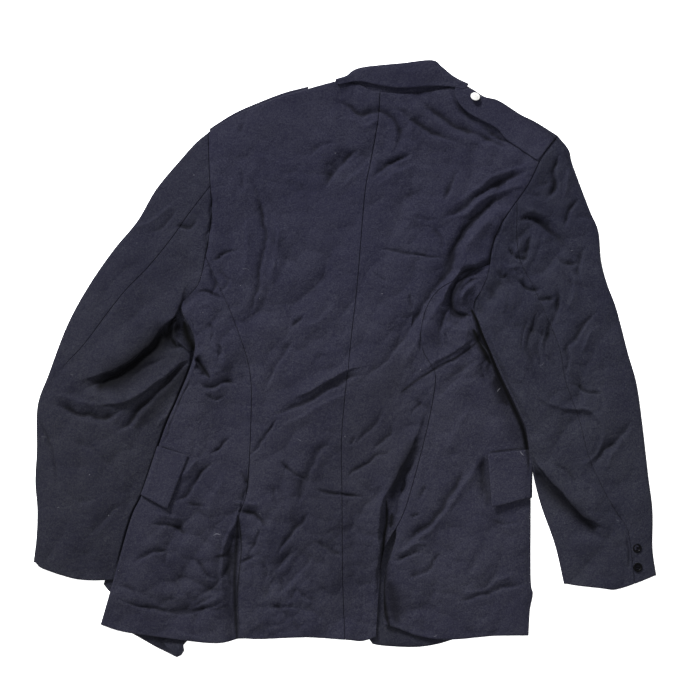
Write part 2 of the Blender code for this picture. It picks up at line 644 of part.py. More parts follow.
def build_straps(wool):
    lower = run(((152, 364), (156, 352), (165, 341), (197, 318), (211, 306), (218, 296), (234, 286),
                 (259, 267)), 10)
    upper = run(((166, 365), (176, 361), (190, 353), (209, 348), (239, 329), (261, 318), (286, 299)), 10)
    grid = [[a.lerp(b, k / 2) for k in range(3)] for a, b in zip(lower, upper)]
    flat_wall("epaulette_right", grid, on_back, wool)
    lower = run(((-182, 264), (-150, 284), (-110, 304), (-60, 322)), 8)
    upper = run(((-183, 310), (-154, 328), (-126, 341), (-87, 356.5), (-50, 367)), 8)
    grid = [[a.lerp(b, k / 4) for k in range(5)] for a, b in zip(lower, upper)]
    flat_wall("epaulette_left", grid, lambda p: strap_rest(p) + CLOTH, wool)


def flap_rows(edge_line, inner_top, inner_low, edge_top, edge_low, under_top, under_low, rows=4):
    """Upper and lower rows of a pocket flap that turns over an edge of the body."""
    upper, lower = [], []
    for k in range(rows + 1):
        t = k / rows
        y = edge_top + (edge_low - edge_top) * t
        edge = Vector((across(edge_line, y), y))
        free = Vector(inner_top).lerp(Vector(inner_low), t)
        hidden = Vector(under_top).lerp(Vector(under_low), t)
        upper.append([free.lerp(edge, c / 3) for c in range(4)])
        lower.append([edge.lerp(hidden, c / 4) for c in range(5)])
    return upper, lower


def build_flaps(wool):
    upper, lower = flap_rows(smooth(LEFT_EDGE), (-213, -134), (-241, -205), -122, -187,
                             (-152, -140), (-174, -205))
    wrapped_wall("pocket_flap_left", upper, lower, body_top, body_floor, wool, LAY)
    upper, lower = flap_rows(smooth(RIGHT_EDGE), (194, -132), (200, -203), -126, -191,
                             (156, -134), (160, -203))
    wrapped_wall("pocket_flap_right", upper, lower, body_top, body_floor, wool, LAY)


# ---------------------------------------------------------------- buttons

def lathe(name, profile, sides, material, place):
    """A turned piece from (radius, height) pairs that start and end on its axis."""
    bm = bmesh.new()
    rings = []
    for radius, height in profile:
        if radius == 0:
            rings.append([bm.verts.new((0, 0, height * MM))])
        else:
            rings.append([bm.verts.new((radius * MM * math.cos(math.tau * k / sides),
                                        radius * MM * math.sin(math.tau * k / sides), height * MM))
                          for k in range(sides)])
    for a, b in zip(rings, rings[1:]):
        for k in range(sides):
            m = (k + 1) % sides
            corners = [a[k % len(a)], a[m % len(a)], b[m % len(b)], b[k % len(b)]]
            bm.faces.new([v for n, v in enumerate(corners) if v not in corners[:n]])
    bmesh.ops.recalc_face_normals(bm, faces=bm.faces)
    bm.transform(place)
    mesh = bpy.data.meshes.new(name)
    bm.to_mesh(mesh)
    bm.free()
    mesh.shade_smooth()
    mesh.set_sharp_from_angle(angle=math.radians(35))
    return make_object(name, mesh, material)


def placed(x, y, z, tilt=0.0, about=(1, 0, 0)):
    return Matrix.Translation(Vector((x, y, z)) * MM) @ Matrix.Rotation(math.radians(tilt), 4, about)


DOME = ((0, 0), (6.2, 0), (7.9, 0.7), (8.2, 1.4), (7.6, 2.0), (5.8, 2.9), (3.2, 3.5), (0, 3.7))
FLAT = ((0, 0), (6.2, 0), (7.4, 0.8), (7.6, 1.7), (7.0, 2.4), (5.4, 2.4), (4.8, 1.9), (0, 1.8))
FRONT_BUTTON = ((0, 0), (9.0, 0), (10.6, 0.6), (11.0, 1.2), (10.2, 2.0), (6.0, 2.8), (0, 3.2))


def drill(obj, holes, place):
    """Sewing holes through a flat button."""
    for x, y in holes:
        bpy.ops.mesh.primitive_cylinder_add(vertices=8, radius=0.9 * MM, depth=12 * MM)
        cutter = bpy.context.object
        cutter.name = obj.name + "_cutter"
        cutter.matrix_world = place @ Matrix.Translation(Vector((x, y, 1)) * MM)
        cutter.hide_render = True
        cutter.display_type = "WIRE"
        cut = obj.modifiers.new("sewing hole", "BOOLEAN")
        cut.operation = "DIFFERENCE"
        cut.object = cutter


HOLES = ((1.7, 1.7), (-1.7, 1.7), (-1.7, -1.7), (1.7, -1.7))


def build_buttons(metal, horn):
    lathe("epaulette_button_right", DOME, 24, metal, placed(176, 352, 12.6, 32, (-1, 0.45, 0)))
    lathe("epaulette_button_left", DOME, 24, metal, placed(-66, 346, 3.72, 180))
    for n, (x, y) in enumerate(((397, -260), (398, -286)), 1):
        place = placed(x, y, button_seat(x, y), 7, (0, 1, 0))
        drill(lathe("cuff_button_right_%d" % n, FLAT, 20, horn, place), HOLES, place)
    for n, (x, y) in enumerate(((-402, -258), (-403, -284)), 1):
        place = placed(x, y, 2.4, 180)
        drill(lathe("cuff_button_left_%d" % n, FLAT, 20, horn, place), HOLES, place)
    for n in range(4):
        y = BREAK + 2 - 68 * n
        place = placed(across(centre_seam, y), y, 3.2, 180)
        lathe("front_button_%d" % (n + 1), FRONT_BUTTON, 24, metal, place)


def button_seat(x, y):
    """Clear of the cloth all round a cuff button."""
    rim = [Vector((x + 8 * math.cos(a), y + 8 * math.sin(a))) for a in (0, 1.57, 3.14, 4.71)]
    return sum(sleeve_top(p, "right") for p in rim) / 4 + 0.9


# ---------------------------------------------------------------- the jacket

for old in list(bpy.data.objects):
    bpy.data.objects.remove(old, do_unlink=True)

navy = finish("navy wool", (0.030, 0.031, 0.052), 0.85)
silver = finish("silver button", (0.78, 0.78, 0.76), 0.3, 1.0)
black = finish("black horn button", (0.012, 0.012, 0.014), 0.35)

build_backs(navy)
build_sides(navy)
build_fronts(navy)
build_sleeve("left", LEFT_SLEEVE_OUTER, LEFT_SLEEVE_INNER, LEFT_CUFF, left_arm, LEFT_HIND_SEAM, 3, navy)
build_sleeve("right", RIGHT_SLEEVE_OUTER, RIGHT_SLEEVE_INNER, RIGHT_CUFF, right_arm, RIGHT_HIND_SEAM, 4, navy)
build_collar(navy)
build_lapels(navy)
build_straps(navy)
build_flaps(navy)
build_buttons(silver, black)
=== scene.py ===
import math

import bpy
import numpy as np
from mathutils import Matrix, Vector


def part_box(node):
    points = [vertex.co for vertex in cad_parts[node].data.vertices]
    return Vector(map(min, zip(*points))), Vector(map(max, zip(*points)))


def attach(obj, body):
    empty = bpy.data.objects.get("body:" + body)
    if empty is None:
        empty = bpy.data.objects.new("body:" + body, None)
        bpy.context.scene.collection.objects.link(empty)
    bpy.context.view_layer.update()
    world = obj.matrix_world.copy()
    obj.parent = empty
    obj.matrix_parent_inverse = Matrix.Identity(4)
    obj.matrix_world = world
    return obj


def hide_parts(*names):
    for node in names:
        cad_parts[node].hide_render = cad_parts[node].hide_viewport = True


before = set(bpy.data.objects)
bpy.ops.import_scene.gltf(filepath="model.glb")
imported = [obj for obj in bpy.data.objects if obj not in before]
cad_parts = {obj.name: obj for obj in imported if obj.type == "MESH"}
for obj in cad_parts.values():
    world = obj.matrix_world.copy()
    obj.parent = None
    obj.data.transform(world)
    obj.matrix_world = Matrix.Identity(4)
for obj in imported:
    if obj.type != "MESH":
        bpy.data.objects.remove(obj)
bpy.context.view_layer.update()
print("frame loaded:", len(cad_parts), "nodes")

mm = 0.001

# what the whole jacket shares, in millimetres
jacket = {
    "wall": 1.3,           # wool with its lining
    "seamGap": 0.3,        # each panel stops this far short of a seam
    "edge": 4.8,           # height where the cloth folds over an edge
    "crown": 9.0,          # how far it fills out away from its edges
    "roll": 36.0,          # and over what distance
    "cell": 1.5,           # size of a mesh cell on the upper side
    "hiddenCell": 6.0,     # and underneath
    "frontWall": 1.6,
    "lapStep": 2.2,        # the right front lies this far over the left one
    "liftLeft": 9.3,       # the body's left edge rides over the left sleeve
    "liftRight": 9.0,      # the right sleeve rides over the body's right edge
    "overlap": 22.0,
    "break": -60.0,
    "ventTop": -218.0,
    "underlap": 28.0,
    "ventStep": 2.6,
    "pad": 5.0,            # how much higher the cloth is on a padded shoulder
    "underSleeve": 4.6,    # height of the body where the right sleeve lies on it
    "underBody": 3.7,      # height of the left sleeve where the body lies on it
}

# seam and edge lines, each from the hem, cuff or neck end that its name gives first
lines = {
    "centreSeam": ((0, -384), (-3, -300), (-4, -180), (-4, -100), (8, 20), (17, 100), (27, 220), (35, 265),
                   (45, 320), (48, 360)),
    "leftSideSeam": ((-143, -382), (-147, -325), (-142, -265), (-144, -220), (-133, -180), (-128, -100),
                     (-129, -20), (-150, 48), (-173, 100), (-190, 136)),
    "rightSideSeam": ((42, -380), (45, -335), (48, -295), (54, -260), (76, -220), (90, -180), (111, -100),
                      (121, -50), (123, -24), (115, -8), (107, 8), (105, 34), (110, 64), (126, 90),
                      (156, 110), (197, 126)),
    "rightVentFront": ((53, -363), (53, -310), (58, -282), (68, -250)),
    "leftEdge": ((-333, -364), (-314, -300), (-291, -220), (-273, -180), (-246, -100), (-229, -60),
                 (-212, -20), (-204, 8), (-205, 28), (-213, 46), (-220, 58), (-224, 72)),
    "rightEdge": ((250, -379), (252, -345), (256, -322), (253, -300), (253, -180), (254, -140), (251, -100),
                  (244, -60), (233, -22), (220, 5), (206, 24), (195, 38), (184, 53), (174, 66)),
    "leftArmhole": ((-186, 306), (-184, 250), (-181, 200), (-186, 156), (-190, 136), (-194, 114),
                    (-200, 97), (-211, 84), (-224, 72)),
    "rightArmhole": ((290, 301), (270, 276), (249, 234), (223, 197), (209, 174), (200, 148), (197, 126),
                     (193, 108), (185, 90), (177, 78), (174, 66)),
    "leftShoulder": ((-186, 306), (-154, 326), (-126, 339), (-87, 354), (-45, 366), (-10, 376)),
    "rightShoulder": ((160, 372), (176, 363), (190, 354), (209, 349), (239, 330), (261, 319), (290, 301)),
    "neckSeam": ((-10, 376), (18, 371), (35, 363), (48, 360), (80, 358), (102, 360), (129, 364), (160, 372)),
    "collarFold": ((-13, 378), (2, 383), (11, 390), (28, 395), (78, 400), (118, 404), (132, 395), (148, 382),
                   (168, 372)),
    "collarEdge": ((-11, 374), (3, 376), (22, 376), (41, 371), (61, 367), (84, 366), (132, 369), (166, 368)),
    "backHem": ((-143, -382), (-109, -383), (-61, -381), (0, -384), (23, -386), (42, -380)),
    "leftSideHem": ((-333, -364), (-303, -373), (-241, -382), (-176, -389), (-143, -382)),
    "rightSideHem": ((53, -363), (73, -369), (101, -379), (143, -384), (204, -379), (250, -379)),
    "leftFrontHem": ((-300, -371), (-283, -380), (-257, -395), (-240, -403), (-229, -408), (-225, -407),
                     (-219, -400), (-209, -382), (-100, -379), (22, -381)),
    "rightFrontHem": ((-22, -380), (28, -381), (40, -391), (90, -395), (125, -391), (160, -381), (200, -377)),
    "leftFrontSeam": ((-300, -371), (-262, -300), (-240, -220), (-208, -140), (-180, -60), (-160, 10),
                      (-175, 60)),
    "rightFrontSeam": ((200, -377), (203, -300), (204, -180), (195, -100), (176, -20), (150, 30), (158, 70)),
    "leftSleeveOuter": ((-186, 306), (-203, 292), (-222, 271), (-257, 229), (-283, 185), (-316, 145),
                        (-351, 94), (-379, 42), (-404, -24), (-419, -67), (-420, -126), (-422, -170),
                        (-419, -209), (-420, -245), (-424, -279)),
    "leftSleeveInner": ((-224, 72), (-217, 59), (-207, 46), (-197, 30), (-190, 14), (-188, -8), (-197, -35),
                        (-214, -65), (-230, -100), (-258, -180), (-287, -260), (-304, -303)),
    "rightSleeveOuter": ((290, 301), (305, 282), (310, 262), (333, 201), (345, 172), (349, 131), (357, 100),
                         (370, 65), (385, 7), (397, -35), (405, -90), (413, -160), (419, -210), (419, -261),
                         (424, -297)),
    "rightSleeveInner": ((174, 66), (181, 50), (187, 33), (196, 12), (212, -25), (232, -66), (245, -95),
                         (249, -117), (253, -142), (258, -168), (267, -203), (286, -257), (298, -309)),
    "leftCuff": ((-424, -279), (-412, -287), (-384, -297), (-355, -303), (-304, -303)),
    "rightCuff": ((424, -297), (394, -308), (368, -316), (347, -314), (298, -309)),
    "leftHindSeam": ((-214, 192), (-235, 162), (-265, 125), (-298, 91), (-326, 56), (-356, 16), (-378, -7)),
    "rightHindSeam": ((236, 140), (258, 91), (290, 16), (299, -31), (318, -85), (333, -140), (363, -201),
                      (382, -230), (388, -254), (394, -306)),
}


# lines and plan grids, in millimetres

def ease(share):
    share = np.clip(share, 0.0, 1.0)
    return share * share * (3.0 - 2.0 * share)


def smoothLine(points, steps=10):
    pts = np.array(points, float)
    pts = np.vstack([2 * pts[0] - pts[1], pts, 2 * pts[-1] - pts[-2]])
    t = (np.arange(steps) / steps)[:, None]
    out = []
    for a, b, c, d in zip(pts, pts[1:], pts[2:], pts[3:]):
        out.append(0.5 * (2 * b + (c - a) * t + (2 * a - 5 * b + 4 * c - d) * t ** 2
                          + (3 * b - 3 * c + d - a) * t ** 3))
    return np.vstack(out + [pts[-2:-1]])


def lengthOf(line):
    return float(np.hypot(*np.diff(line, axis=0).T).sum())


def spreadLine(line, count):
    reach = np.concatenate([[0.0], np.cumsum(np.hypot(*np.diff(line, axis=0).T))])
    goal = np.linspace(0.0, reach[-1], count + 1)
    return np.column_stack([np.interp(goal, reach, line[:, k]) for k in (0, 1)])


def nearestOn(points, line):
    # distance to the line, which side of it (left is +1), share of its length there and the way to its left
    best = np.full(len(points), 1e18)
    side = np.zeros(len(points))
    share = np.zeros(len(points))
    left = np.zeros((len(points), 2))
    step = np.diff(line, axis=0)
    size = np.maximum(np.hypot(*step.T), 1e-6)
    reach = np.concatenate([[0.0], np.cumsum(size)])
    for k in range(len(step)):
        away = points - line[k]
        t = np.clip(away @ step[k] / size[k] ** 2, 0.0, 1.0)
        off = away - t[:, None] * step[k]
        gap = (off ** 2).sum(1)
        closer = gap < best
        best[closer] = gap[closer]
        side[closer] = np.sign(step[k][0] * away[closer, 1] - step[k][1] * away[closer, 0])
        share[closer] = (reach[k] + t[closer] * size[k]) / reach[-1]
        left[closer] = np.array([-step[k][1], step[k][0]]) / size[k]
    return np.sqrt(best), side, share, left


def belowLine(points, height, span):
    # 0 above a height in plan, and 1 once it is this far below
    return ease((height - points[:, 1]) / span)


def aboveLine(points, height, span):
    return ease((points[:, 1] - height) / span)


def spot(points, x, y, reachX, reachY):
    # 1 at a place, fading out around it
    return np.exp(-((points[:, 0] - x) / reachX) ** 2 - ((points[:, 1] - y) / reachY) ** 2)


def distanceTo(points, *some):
    return np.min([nearestOn(points, line)[0] for line in some], axis=0)


def across(line, heights):
    order = np.argsort(line[:, 1], kind="stable")
    return np.interp(heights, line[order, 1], line[order, 0])


def settle(grid, rounds):
    # evens out the inside of a grid of plan points without letting it fold over
    for _ in range(rounds):
        east, west, north, south = grid[1:-1, 2:], grid[1:-1, :-2], grid[2:, 1:-1], grid[:-2, 1:-1]
        sideways, upward = (east - west) / 2, (north - south) / 2
        skew = (grid[2:, 2:] - grid[2:, :-2] - grid[:-2, 2:] + grid[:-2, :-2]) / 4
        a = (upward ** 2).sum(-1, keepdims=True)
        c = (sideways ** 2).sum(-1, keepdims=True)
        b = (sideways * upward).sum(-1, keepdims=True)
        goal = (a * (east + west) + c * (north + south) - 2 * b * skew) / (2 * (a + c) + 1e-9)
        grid[1:-1, 1:-1] += 0.7 * (goal - grid[1:-1, 1:-1])
    return grid


def planGrid(left, right, bottom, top, cell):
    # left and right run up, bottom and top run across; the rows and columns are multiples of 8
    rows = max(8, 8 * round((lengthOf(left) + lengthOf(right)) / 2 / cell / 8))
    cols = max(8, 8 * round((lengthOf(bottom) + lengthOf(top)) / 2 / cell / 8))
    grid = None
    for skip, rounds in ((8, 220), (4, 60), (2, 40), (1, 24)):
        n, m = rows // skip, cols // skip
        west, east = spreadLine(left, n), spreadLine(right, n)
        south, north = spreadLine(bottom, m), spreadLine(top, m)
        if grid is None:
            u, v = np.linspace(0, 1, m + 1)[None, :, None], np.linspace(0, 1, n + 1)[:, None, None]
            corners = ((1 - u) * (1 - v) * south[0] + u * (1 - v) * south[-1]
                       + (1 - u) * v * north[0] + u * v * north[-1])
            grid = ((1 - v) * south[None] + v * north[None] + (1 - u) * west[:, None] + u * east[:, None]
                    - corners)
        else:
            wide = np.zeros((n + 1, m + 1, 2))
            wide[::2, ::2] = grid
            wide[1::2, ::2] = (grid[:-1] + grid[1:]) / 2
            wide[:, 1::2] = (wide[:, :-1:2] + wide[:, 2::2]) / 2
            grid = wide
        grid[:, 0], grid[:, -1], grid[0], grid[-1] = west, east, south, north
        grid = settle(grid, rounds)
    return grid


def drawIn(grid, sides, amount=jacket["seamGap"]):
    # the sewn sides stop just short of the seam line; each side is an edge and its neighbour
    out = grid.copy()
    edges = {"l": (np.s_[:, 0], np.s_[:, 2]), "r": (np.s_[:, -1], np.s_[:, -3]),
             "b": (np.s_[0], np.s_[2]), "t": (np.s_[-1], np.s_[-3])}
    for side in sides:
        edge, inner = (grid[where] for where in edges[side])
        along = np.gradient(edge, axis=0)
        normal = np.column_stack([-along[:, 1], along[:, 0]]) / np.hypot(*along.T)[:, None]
        turn = np.sign((normal * (inner - edge)).sum(1))
        turn[turn == 0] = 1
        out[edges[side][0]] += amount * normal * turn[:, None]
    return out


line = {name: smoothLine(points) for name, points in lines.items()}
# the folded outer edges, which the cloth fills out away from
outline = [smoothLine(lines[name], 4) for name in (
    "leftShoulder", "collarFold", "rightShoulder", "leftSleeveOuter", "rightSleeveOuter")]
outline += [smoothLine(tuple(p for p in lines[name] if p[1] < -50), 4) for name in ("leftEdge", "rightEdge")]
armSplit = {"left": 136.0, "right": 126.0}      # height where the side seam meets the armhole


def splitAt(path, height):
    # the two stretches of a line that meet at a height
    higher = path[:, 1] > height
    cut = int(np.argmax(higher != higher[0]))
    t = (height - path[cut - 1, 1]) / (path[cut, 1] - path[cut - 1, 1])
    joint = path[cut - 1] + t * (path[cut] - path[cut - 1])
    return np.vstack([path[:cut], joint]), np.vstack([joint, path[cut:]])


armUpper, armLower = {}, {}
for side in ("left", "right"):
    armUpper[side], armLower[side] = splitAt(line[side + "Armhole"], armSplit[side])
print("seam lines ready")


# Folds and creases: points, height (minus for a trough) and half width, and for some a lean and an
# overhang. A lean above 0 makes the side to the left of the line's way steeper, and an overhang pushes the
# cloth there.
bodyCreases = (
    # the long drag line from the right armhole across the back
    (((237, 226), (209, 214), (186, 194), (162, 171), (148, 146), (139, 117), (116, 84), (92, 48), (78, 24),
      (60, 0), (34, -23), (18, -30)), -4.6, 5.6),
    (((238, 205), (210, 196), (189, 176), (172, 152), (158, 118), (136, 78), (110, 36), (90, 4), (66, -22)),
     4.6, 12.0, -0.35, -3),
    (((256, 253), (226, 243), (190, 226), (158, 201), (125, 184)), -4.2, 5.5),
    (((250, 236), (218, 228), (184, 211), (154, 188)), 2.8, 8.0),
    (((264, 262), (232, 254), (196, 240), (162, 216), (140, 200)), 2.2, 9.0),
    (((30, -22), (3, -29), (-24, -44), (-53, -60), (-76, -71), (-99, -82)), -4.0, 4.6),
    (((34, -10), (-4, -17), (-40, -38), (-80, -58)), 2.6, 9.0, 0.5, 3),
    (((20, -45), (-20, -60), (-60, -82), (-90, -98)), 1.8, 12.0),
    # below the collar
    (((-29, 352), (4, 341), (20, 329), (46, 333), (63, 324), (73, 306), (68, 283), (58, 271)), -3.0, 5.5),
    (((-10, 332), (22, 317), (48, 320), (57, 304)), 1.8, 8.0),
    (((60, 345), (82, 330), (90, 305), (84, 280)), 1.6, 8.0),
    (((95, 277), (60, 261), (33, 241)), -3.2, 4.5),
    (((100, 264), (66, 248), (40, 230)), 1.4, 9.0),
    (((20, 284), (1, 268), (-16, 248), (-28, 229)), -4.4, 6.5),
    (((30, 262), (12, 246), (-6, 228)), 1.6, 8.0),
    (((-4, 292), (-34, 285), (-52, 268)), -1.4, 6.0),
    (((94, 355), (125, 330), (156, 311), (197, 295), (236, 281)), -4.8, 5.6),
    (((104, 338), (136, 312), (172, 294), (206, 280)), 1.6, 7.0),
    (((62, 340), (95, 320), (125, 303), (156, 290)), -3.6, 5.0),
    (((146, 366), (156, 338), (174, 320), (204, 302), (232, 288)), -4.4, 5.0),
    # shoulder blades
    (((-128, 252), (-116, 215), (-110, 181), (-112, 147), (-116, 112), (-122, 76), (-133, 50)), -3.0, 4.4),
    (((-96, 204), (-92, 165), (-97, 120), (-104, 78)), 2.4, 10.0),
    (((-134, 196), (-133, 150), (-138, 104)), 1.6, 8.0),
    (((-97, 181), (-94, 150), (-92, 112)), -1.4, 3.6),
    (((-141, 265), (-136, 226)), -1.4, 4.0),
    (((-140, 320), (-143, 299)), -1.6, 4.0),
    (((-185, 129), (-165, 139), (-141, 144)), -2.4, 3.2),
    (((-183, 122), (-176, 98), (-180, 82)), -2.6, 4.0),
    (((-168, 118), (-160, 100), (-172, 84)), -1.6, 4.0),
    (((44, 144), (84, 139), (137, 131)), -1.8, 3.0),
    (((37, 116), (48, 107), (60, 99)), -1.2, 3.5),
    (((154, 257), (143, 235), (135, 205)), -2.2, 5.0),
    (((120, 178), (132, 160), (134, 140)), -2.2, 6.0),
    (((88, 190), (112, 186), (128, 188)), -1.0, 3.0),
    (((-56, 57), (-66, 46), (-73, 35)), -2.2, 3.0),
    (((-63, 24), (-91, -4), (-112, -49)), -2.0, 8.0),
    (((-60, 40), (-30, 52), (-10, 70)), 1.2, 12.0),
    # waist
    (((-16, -108), (-37, -132), (-51, -163), (-66, -205)), -3.4, 7.0),
    (((-92, -140), (-70, -157), (-48, -168)), -2.6, 3.6),
    (((-84, -168), (-76, -196), (-72, -226)), 2.2, 12.0),
    (((-88, -80), (-118, -122), (-135, -140)), -1.7, 2.8),
    (((71, -86), (48, -117), (34, -131)), -2.0, 4.0),
    (((58, -68), (36, -97), (9, -122)), -1.8, 6.0),
    (((67, -128), (34, -140), (-1, -166)), -2.4, 4.5),
    (((-46, -181), (-7, -187), (27, -191)), -2.4, 3.0),
    (((106, -58), (97, -70), (87, -84)), -1.4, 4.0),
    (((12, -108), (8, -122)), -1.2, 3.0),
    (((-22, -266), (-5, -267)), -1.2, 3.0),
    # lower back, left of the centre seam
    (((-47, -209), (-72, -241), (-93, -270)), -3.0, 4.5),
    (((-39, -250), (-15, -265), (-5, -266)), -2.2, 3.6),
    (((-42, -267), (-72, -297), (-93, -326)), -4.0, 8.0),
    (((-60, -262), (-88, -290), (-106, -312)), 1.8, 9.0),
    (((-68, -313), (-45, -330), (-31, -345)), -1.8, 3.2),
    (((-112, -339), (-82, -341), (-52, -345)), -1.6, 3.2),
    (((-152, -197), (-134, -199), (-117, -200)), 1.8, 5.0),
    (((-149, -208), (-124, -215), (-100, -235)), -3.4, 4.2),
    (((-113, -230), (-131, -275)), -2.0, 3.6),
    (((-122, -210), (-108, -240), (-106, -262)), 1.6, 8.0),
    (((-145, -282), (-122, -271)), -2.2, 4.0),
    (((-109, -276), (-107, -307)), -1.0, 4.0),
    (((-144, -158), (-128, -176)), -1.4, 3.0),
    (((-102, -172), (-88, -206)), -1.6, 5.0),
    (((-30, -225), (-20, -300), (-24, -360)), 1.0, 12.0),
    # the rolled edge of the right vent and the hollow beside it
    (((112, -60), (99, -98), (80, -138), (60, -172), (43, -205), (43, -250), (41, -300), (39, -352)),
     6.0, 11.0, 0.5, 2),
    (((106, -114), (91, -144), (76, -178), (67, -212), (62, -250), (57, -300), (53, -352)), -7.0, 10.0),
    (((10, -200), (12, -270), (8, -350)), -1.6, 12.0),
    # right side panel
    (((190, -132), (158, -178), (132, -216), (100, -248), (78, -264)), 3.0, 11.0),
    (((166, -140), (146, -184), (126, -212), (98, -240), (73, -261)), -2.6, 8.5),
    (((113, -170), (104, -184), (97, -197)), -1.8, 3.6),
    (((86, -219), (101, -213)), -1.6, 3.2),
    (((146, -334), (181, -326), (214, -314), (254, -308)), -2.4, 6.0),
    (((150, -318), (186, -320), (212, -300), (240, -292)), 1.8, 9.0),
    (((64, -280), (90, -268), (109, -268)), -2.4, 3.8),
    (((68, -266), (95, -255), (118, -252)), 1.8, 6.0),
    (((83, -301), (110, -291), (132, -265)), -2.2, 5.0),
    (((58, -298), (64, -325), (74, -352)), -4.0, 9.0),
    (((189, -130), (189, -160), (191, -196)), -4.0, 5.5),
    (((196, -224), (222, -228), (240, -226)), -1.2, 3.0),
    (((176, -60), (150, -100), (138, -140)), 1.4, 16.0),
    # right armpit
    (((193, 121), (179, 118), (160, 107), (150, 96), (145, 82), (145, 68), (151, 60), (163, 58), (172, 62)),
     -8.0, 4.6),
    (((204, 140), (184, 131), (161, 122), (145, 106), (136, 88), (132, 66)), 3.6, 7.0, 0.35, 3),
    (((184, 106), (170, 95), (161, 82), (162, 70)), 2.6, 6.0),
    (((180, 108), (168, 100), (158, 88)), -1.4, 2.2),
    (((176, 92), (168, 84), (170, 74)), -1.2, 2.0),
    (((138, 50), (152, 38), (166, 36), (177, 32)), 5.0, 11.0),
    (((184, 36), (164, 18), (142, 6), (118, -8), (96, -24)), 1.7, 5.0, 0.5, 1.0),
    (((190, 33), (171, 13), (154, 1), (135, -9), (116, -20), (91, -36), (76, -47)), -1.5, 2.2),
    (((143, 70), (135, 54), (127, 30)), -2.4, 4.0),
    (((105, 39), (103, 3)), -2.0, 2.2),
    (((90, 90), (91, 63)), -1.7, 2.2),
    (((137, 46), (138, 8)), -1.1, 2.2),
    (((184, 6), (172, -10), (150, -24), (138, -27)), -1.4, 4.0),
    (((196, 2), (186, -14), (196, -40)), -2.4, 6.0),
    (((188, 18), (198, -16), (209, -46), (224, -80), (234, -110)), -2.6, 9.0),
    (((176, -12), (150, -32), (120, -62)), -1.2, 5.0),
    # the cloth dips into the upper armhole seams
    (((-183, 238), (-181, 200), (-186, 156), (-190, 136), (-195, 114)), -2.6, 2.4),
    (((226, 202), (212, 176), (201, 150), (197, 126), (194, 110)), -2.6, 2.4),
    # left side, from the armpit to the pocket flap
    (((-186, 20), (-172, 2), (-164, -22)), 3.0, 11.0),
    (((-200, -32), (-182, -40), (-162, -34), (-146, -40)), -4.2, 4.2),
    (((-190, -50), (-176, -56), (-164, -54)), -1.8, 4.0),
    (((-208, 4), (-197, -13), (-184, -27)), -8.0, 4.6),
    (((-200, 66), (-186, 70), (-170, 62)), 1.6, 6.0),
    (((-206, 84), (-190, 88), (-172, 80), (-160, 76)), -2.2, 3.0),
    (((-186, 50), (-178, 34), (-182, 18)), -1.6, 4.0),
    (((-176, 20), (-168, 8), (-170, -4)), -1.8, 5.0),
    (((-148, -103), (-169, -120), (-188, -133)), -2.2, 3.6),
    (((-176, -140), (-196, -159), (-207, -180), (-220, -191), (-236, -194)), -3.0, 4.6),
    (((-196, -136), (-214, -150), (-224, -172)), 2.4, 8.0),
    (((-160, -152), (-178, -190), (-188, -240)), 2.0, 15.0),
    (((-216, -197), (-201, -201), (-185, -207)), -1.8, 3.2),
    (((-267, -225), (-240, -229), (-214, -243)), -2.6, 4.2),
    (((-264, -212), (-240, -216), (-216, -222)), 1.2, 7.0),
    (((-237, -259), (-265, -269), (-290, -281)), -2.8, 4.2),
    (((-240, -258), (-247, -283)), -1.4, 3.0),
    (((-208, -270), (-184, -298), (-170, -304)), -3.0, 4.2),
    (((-212, -341), (-190, -333), (-167, -321)), -1.6, 3.4),
    (((-311, -309), (-293, -315), (-274, -327)), -2.0, 3.0),
    (((-318, -326), (-288, -337), (-242, -345), (-206, -346), (-162, -334)), -2.8, 3.0),
    (((-129, -146), (-134, -182), (-145, -220)), -2.0, 4.0),
    (((-146, -214), (-152, -248), (-155, -296), (-154, -345), (-152, -392)), -5.4, 9.5),
    (((-136, -182), (-149, -222), (-162, -256), (-167, -300), (-166, -350)), 2.6, 6.0),
    (((-250, -372), (-210, -380), (-180, -388)), 1.2, 8.0),
    # the second edge just inside the body's left edge
    (((-206, -24), (-224, -62), (-239, -99), (-252, -130)), -1.8, 2.4),
)
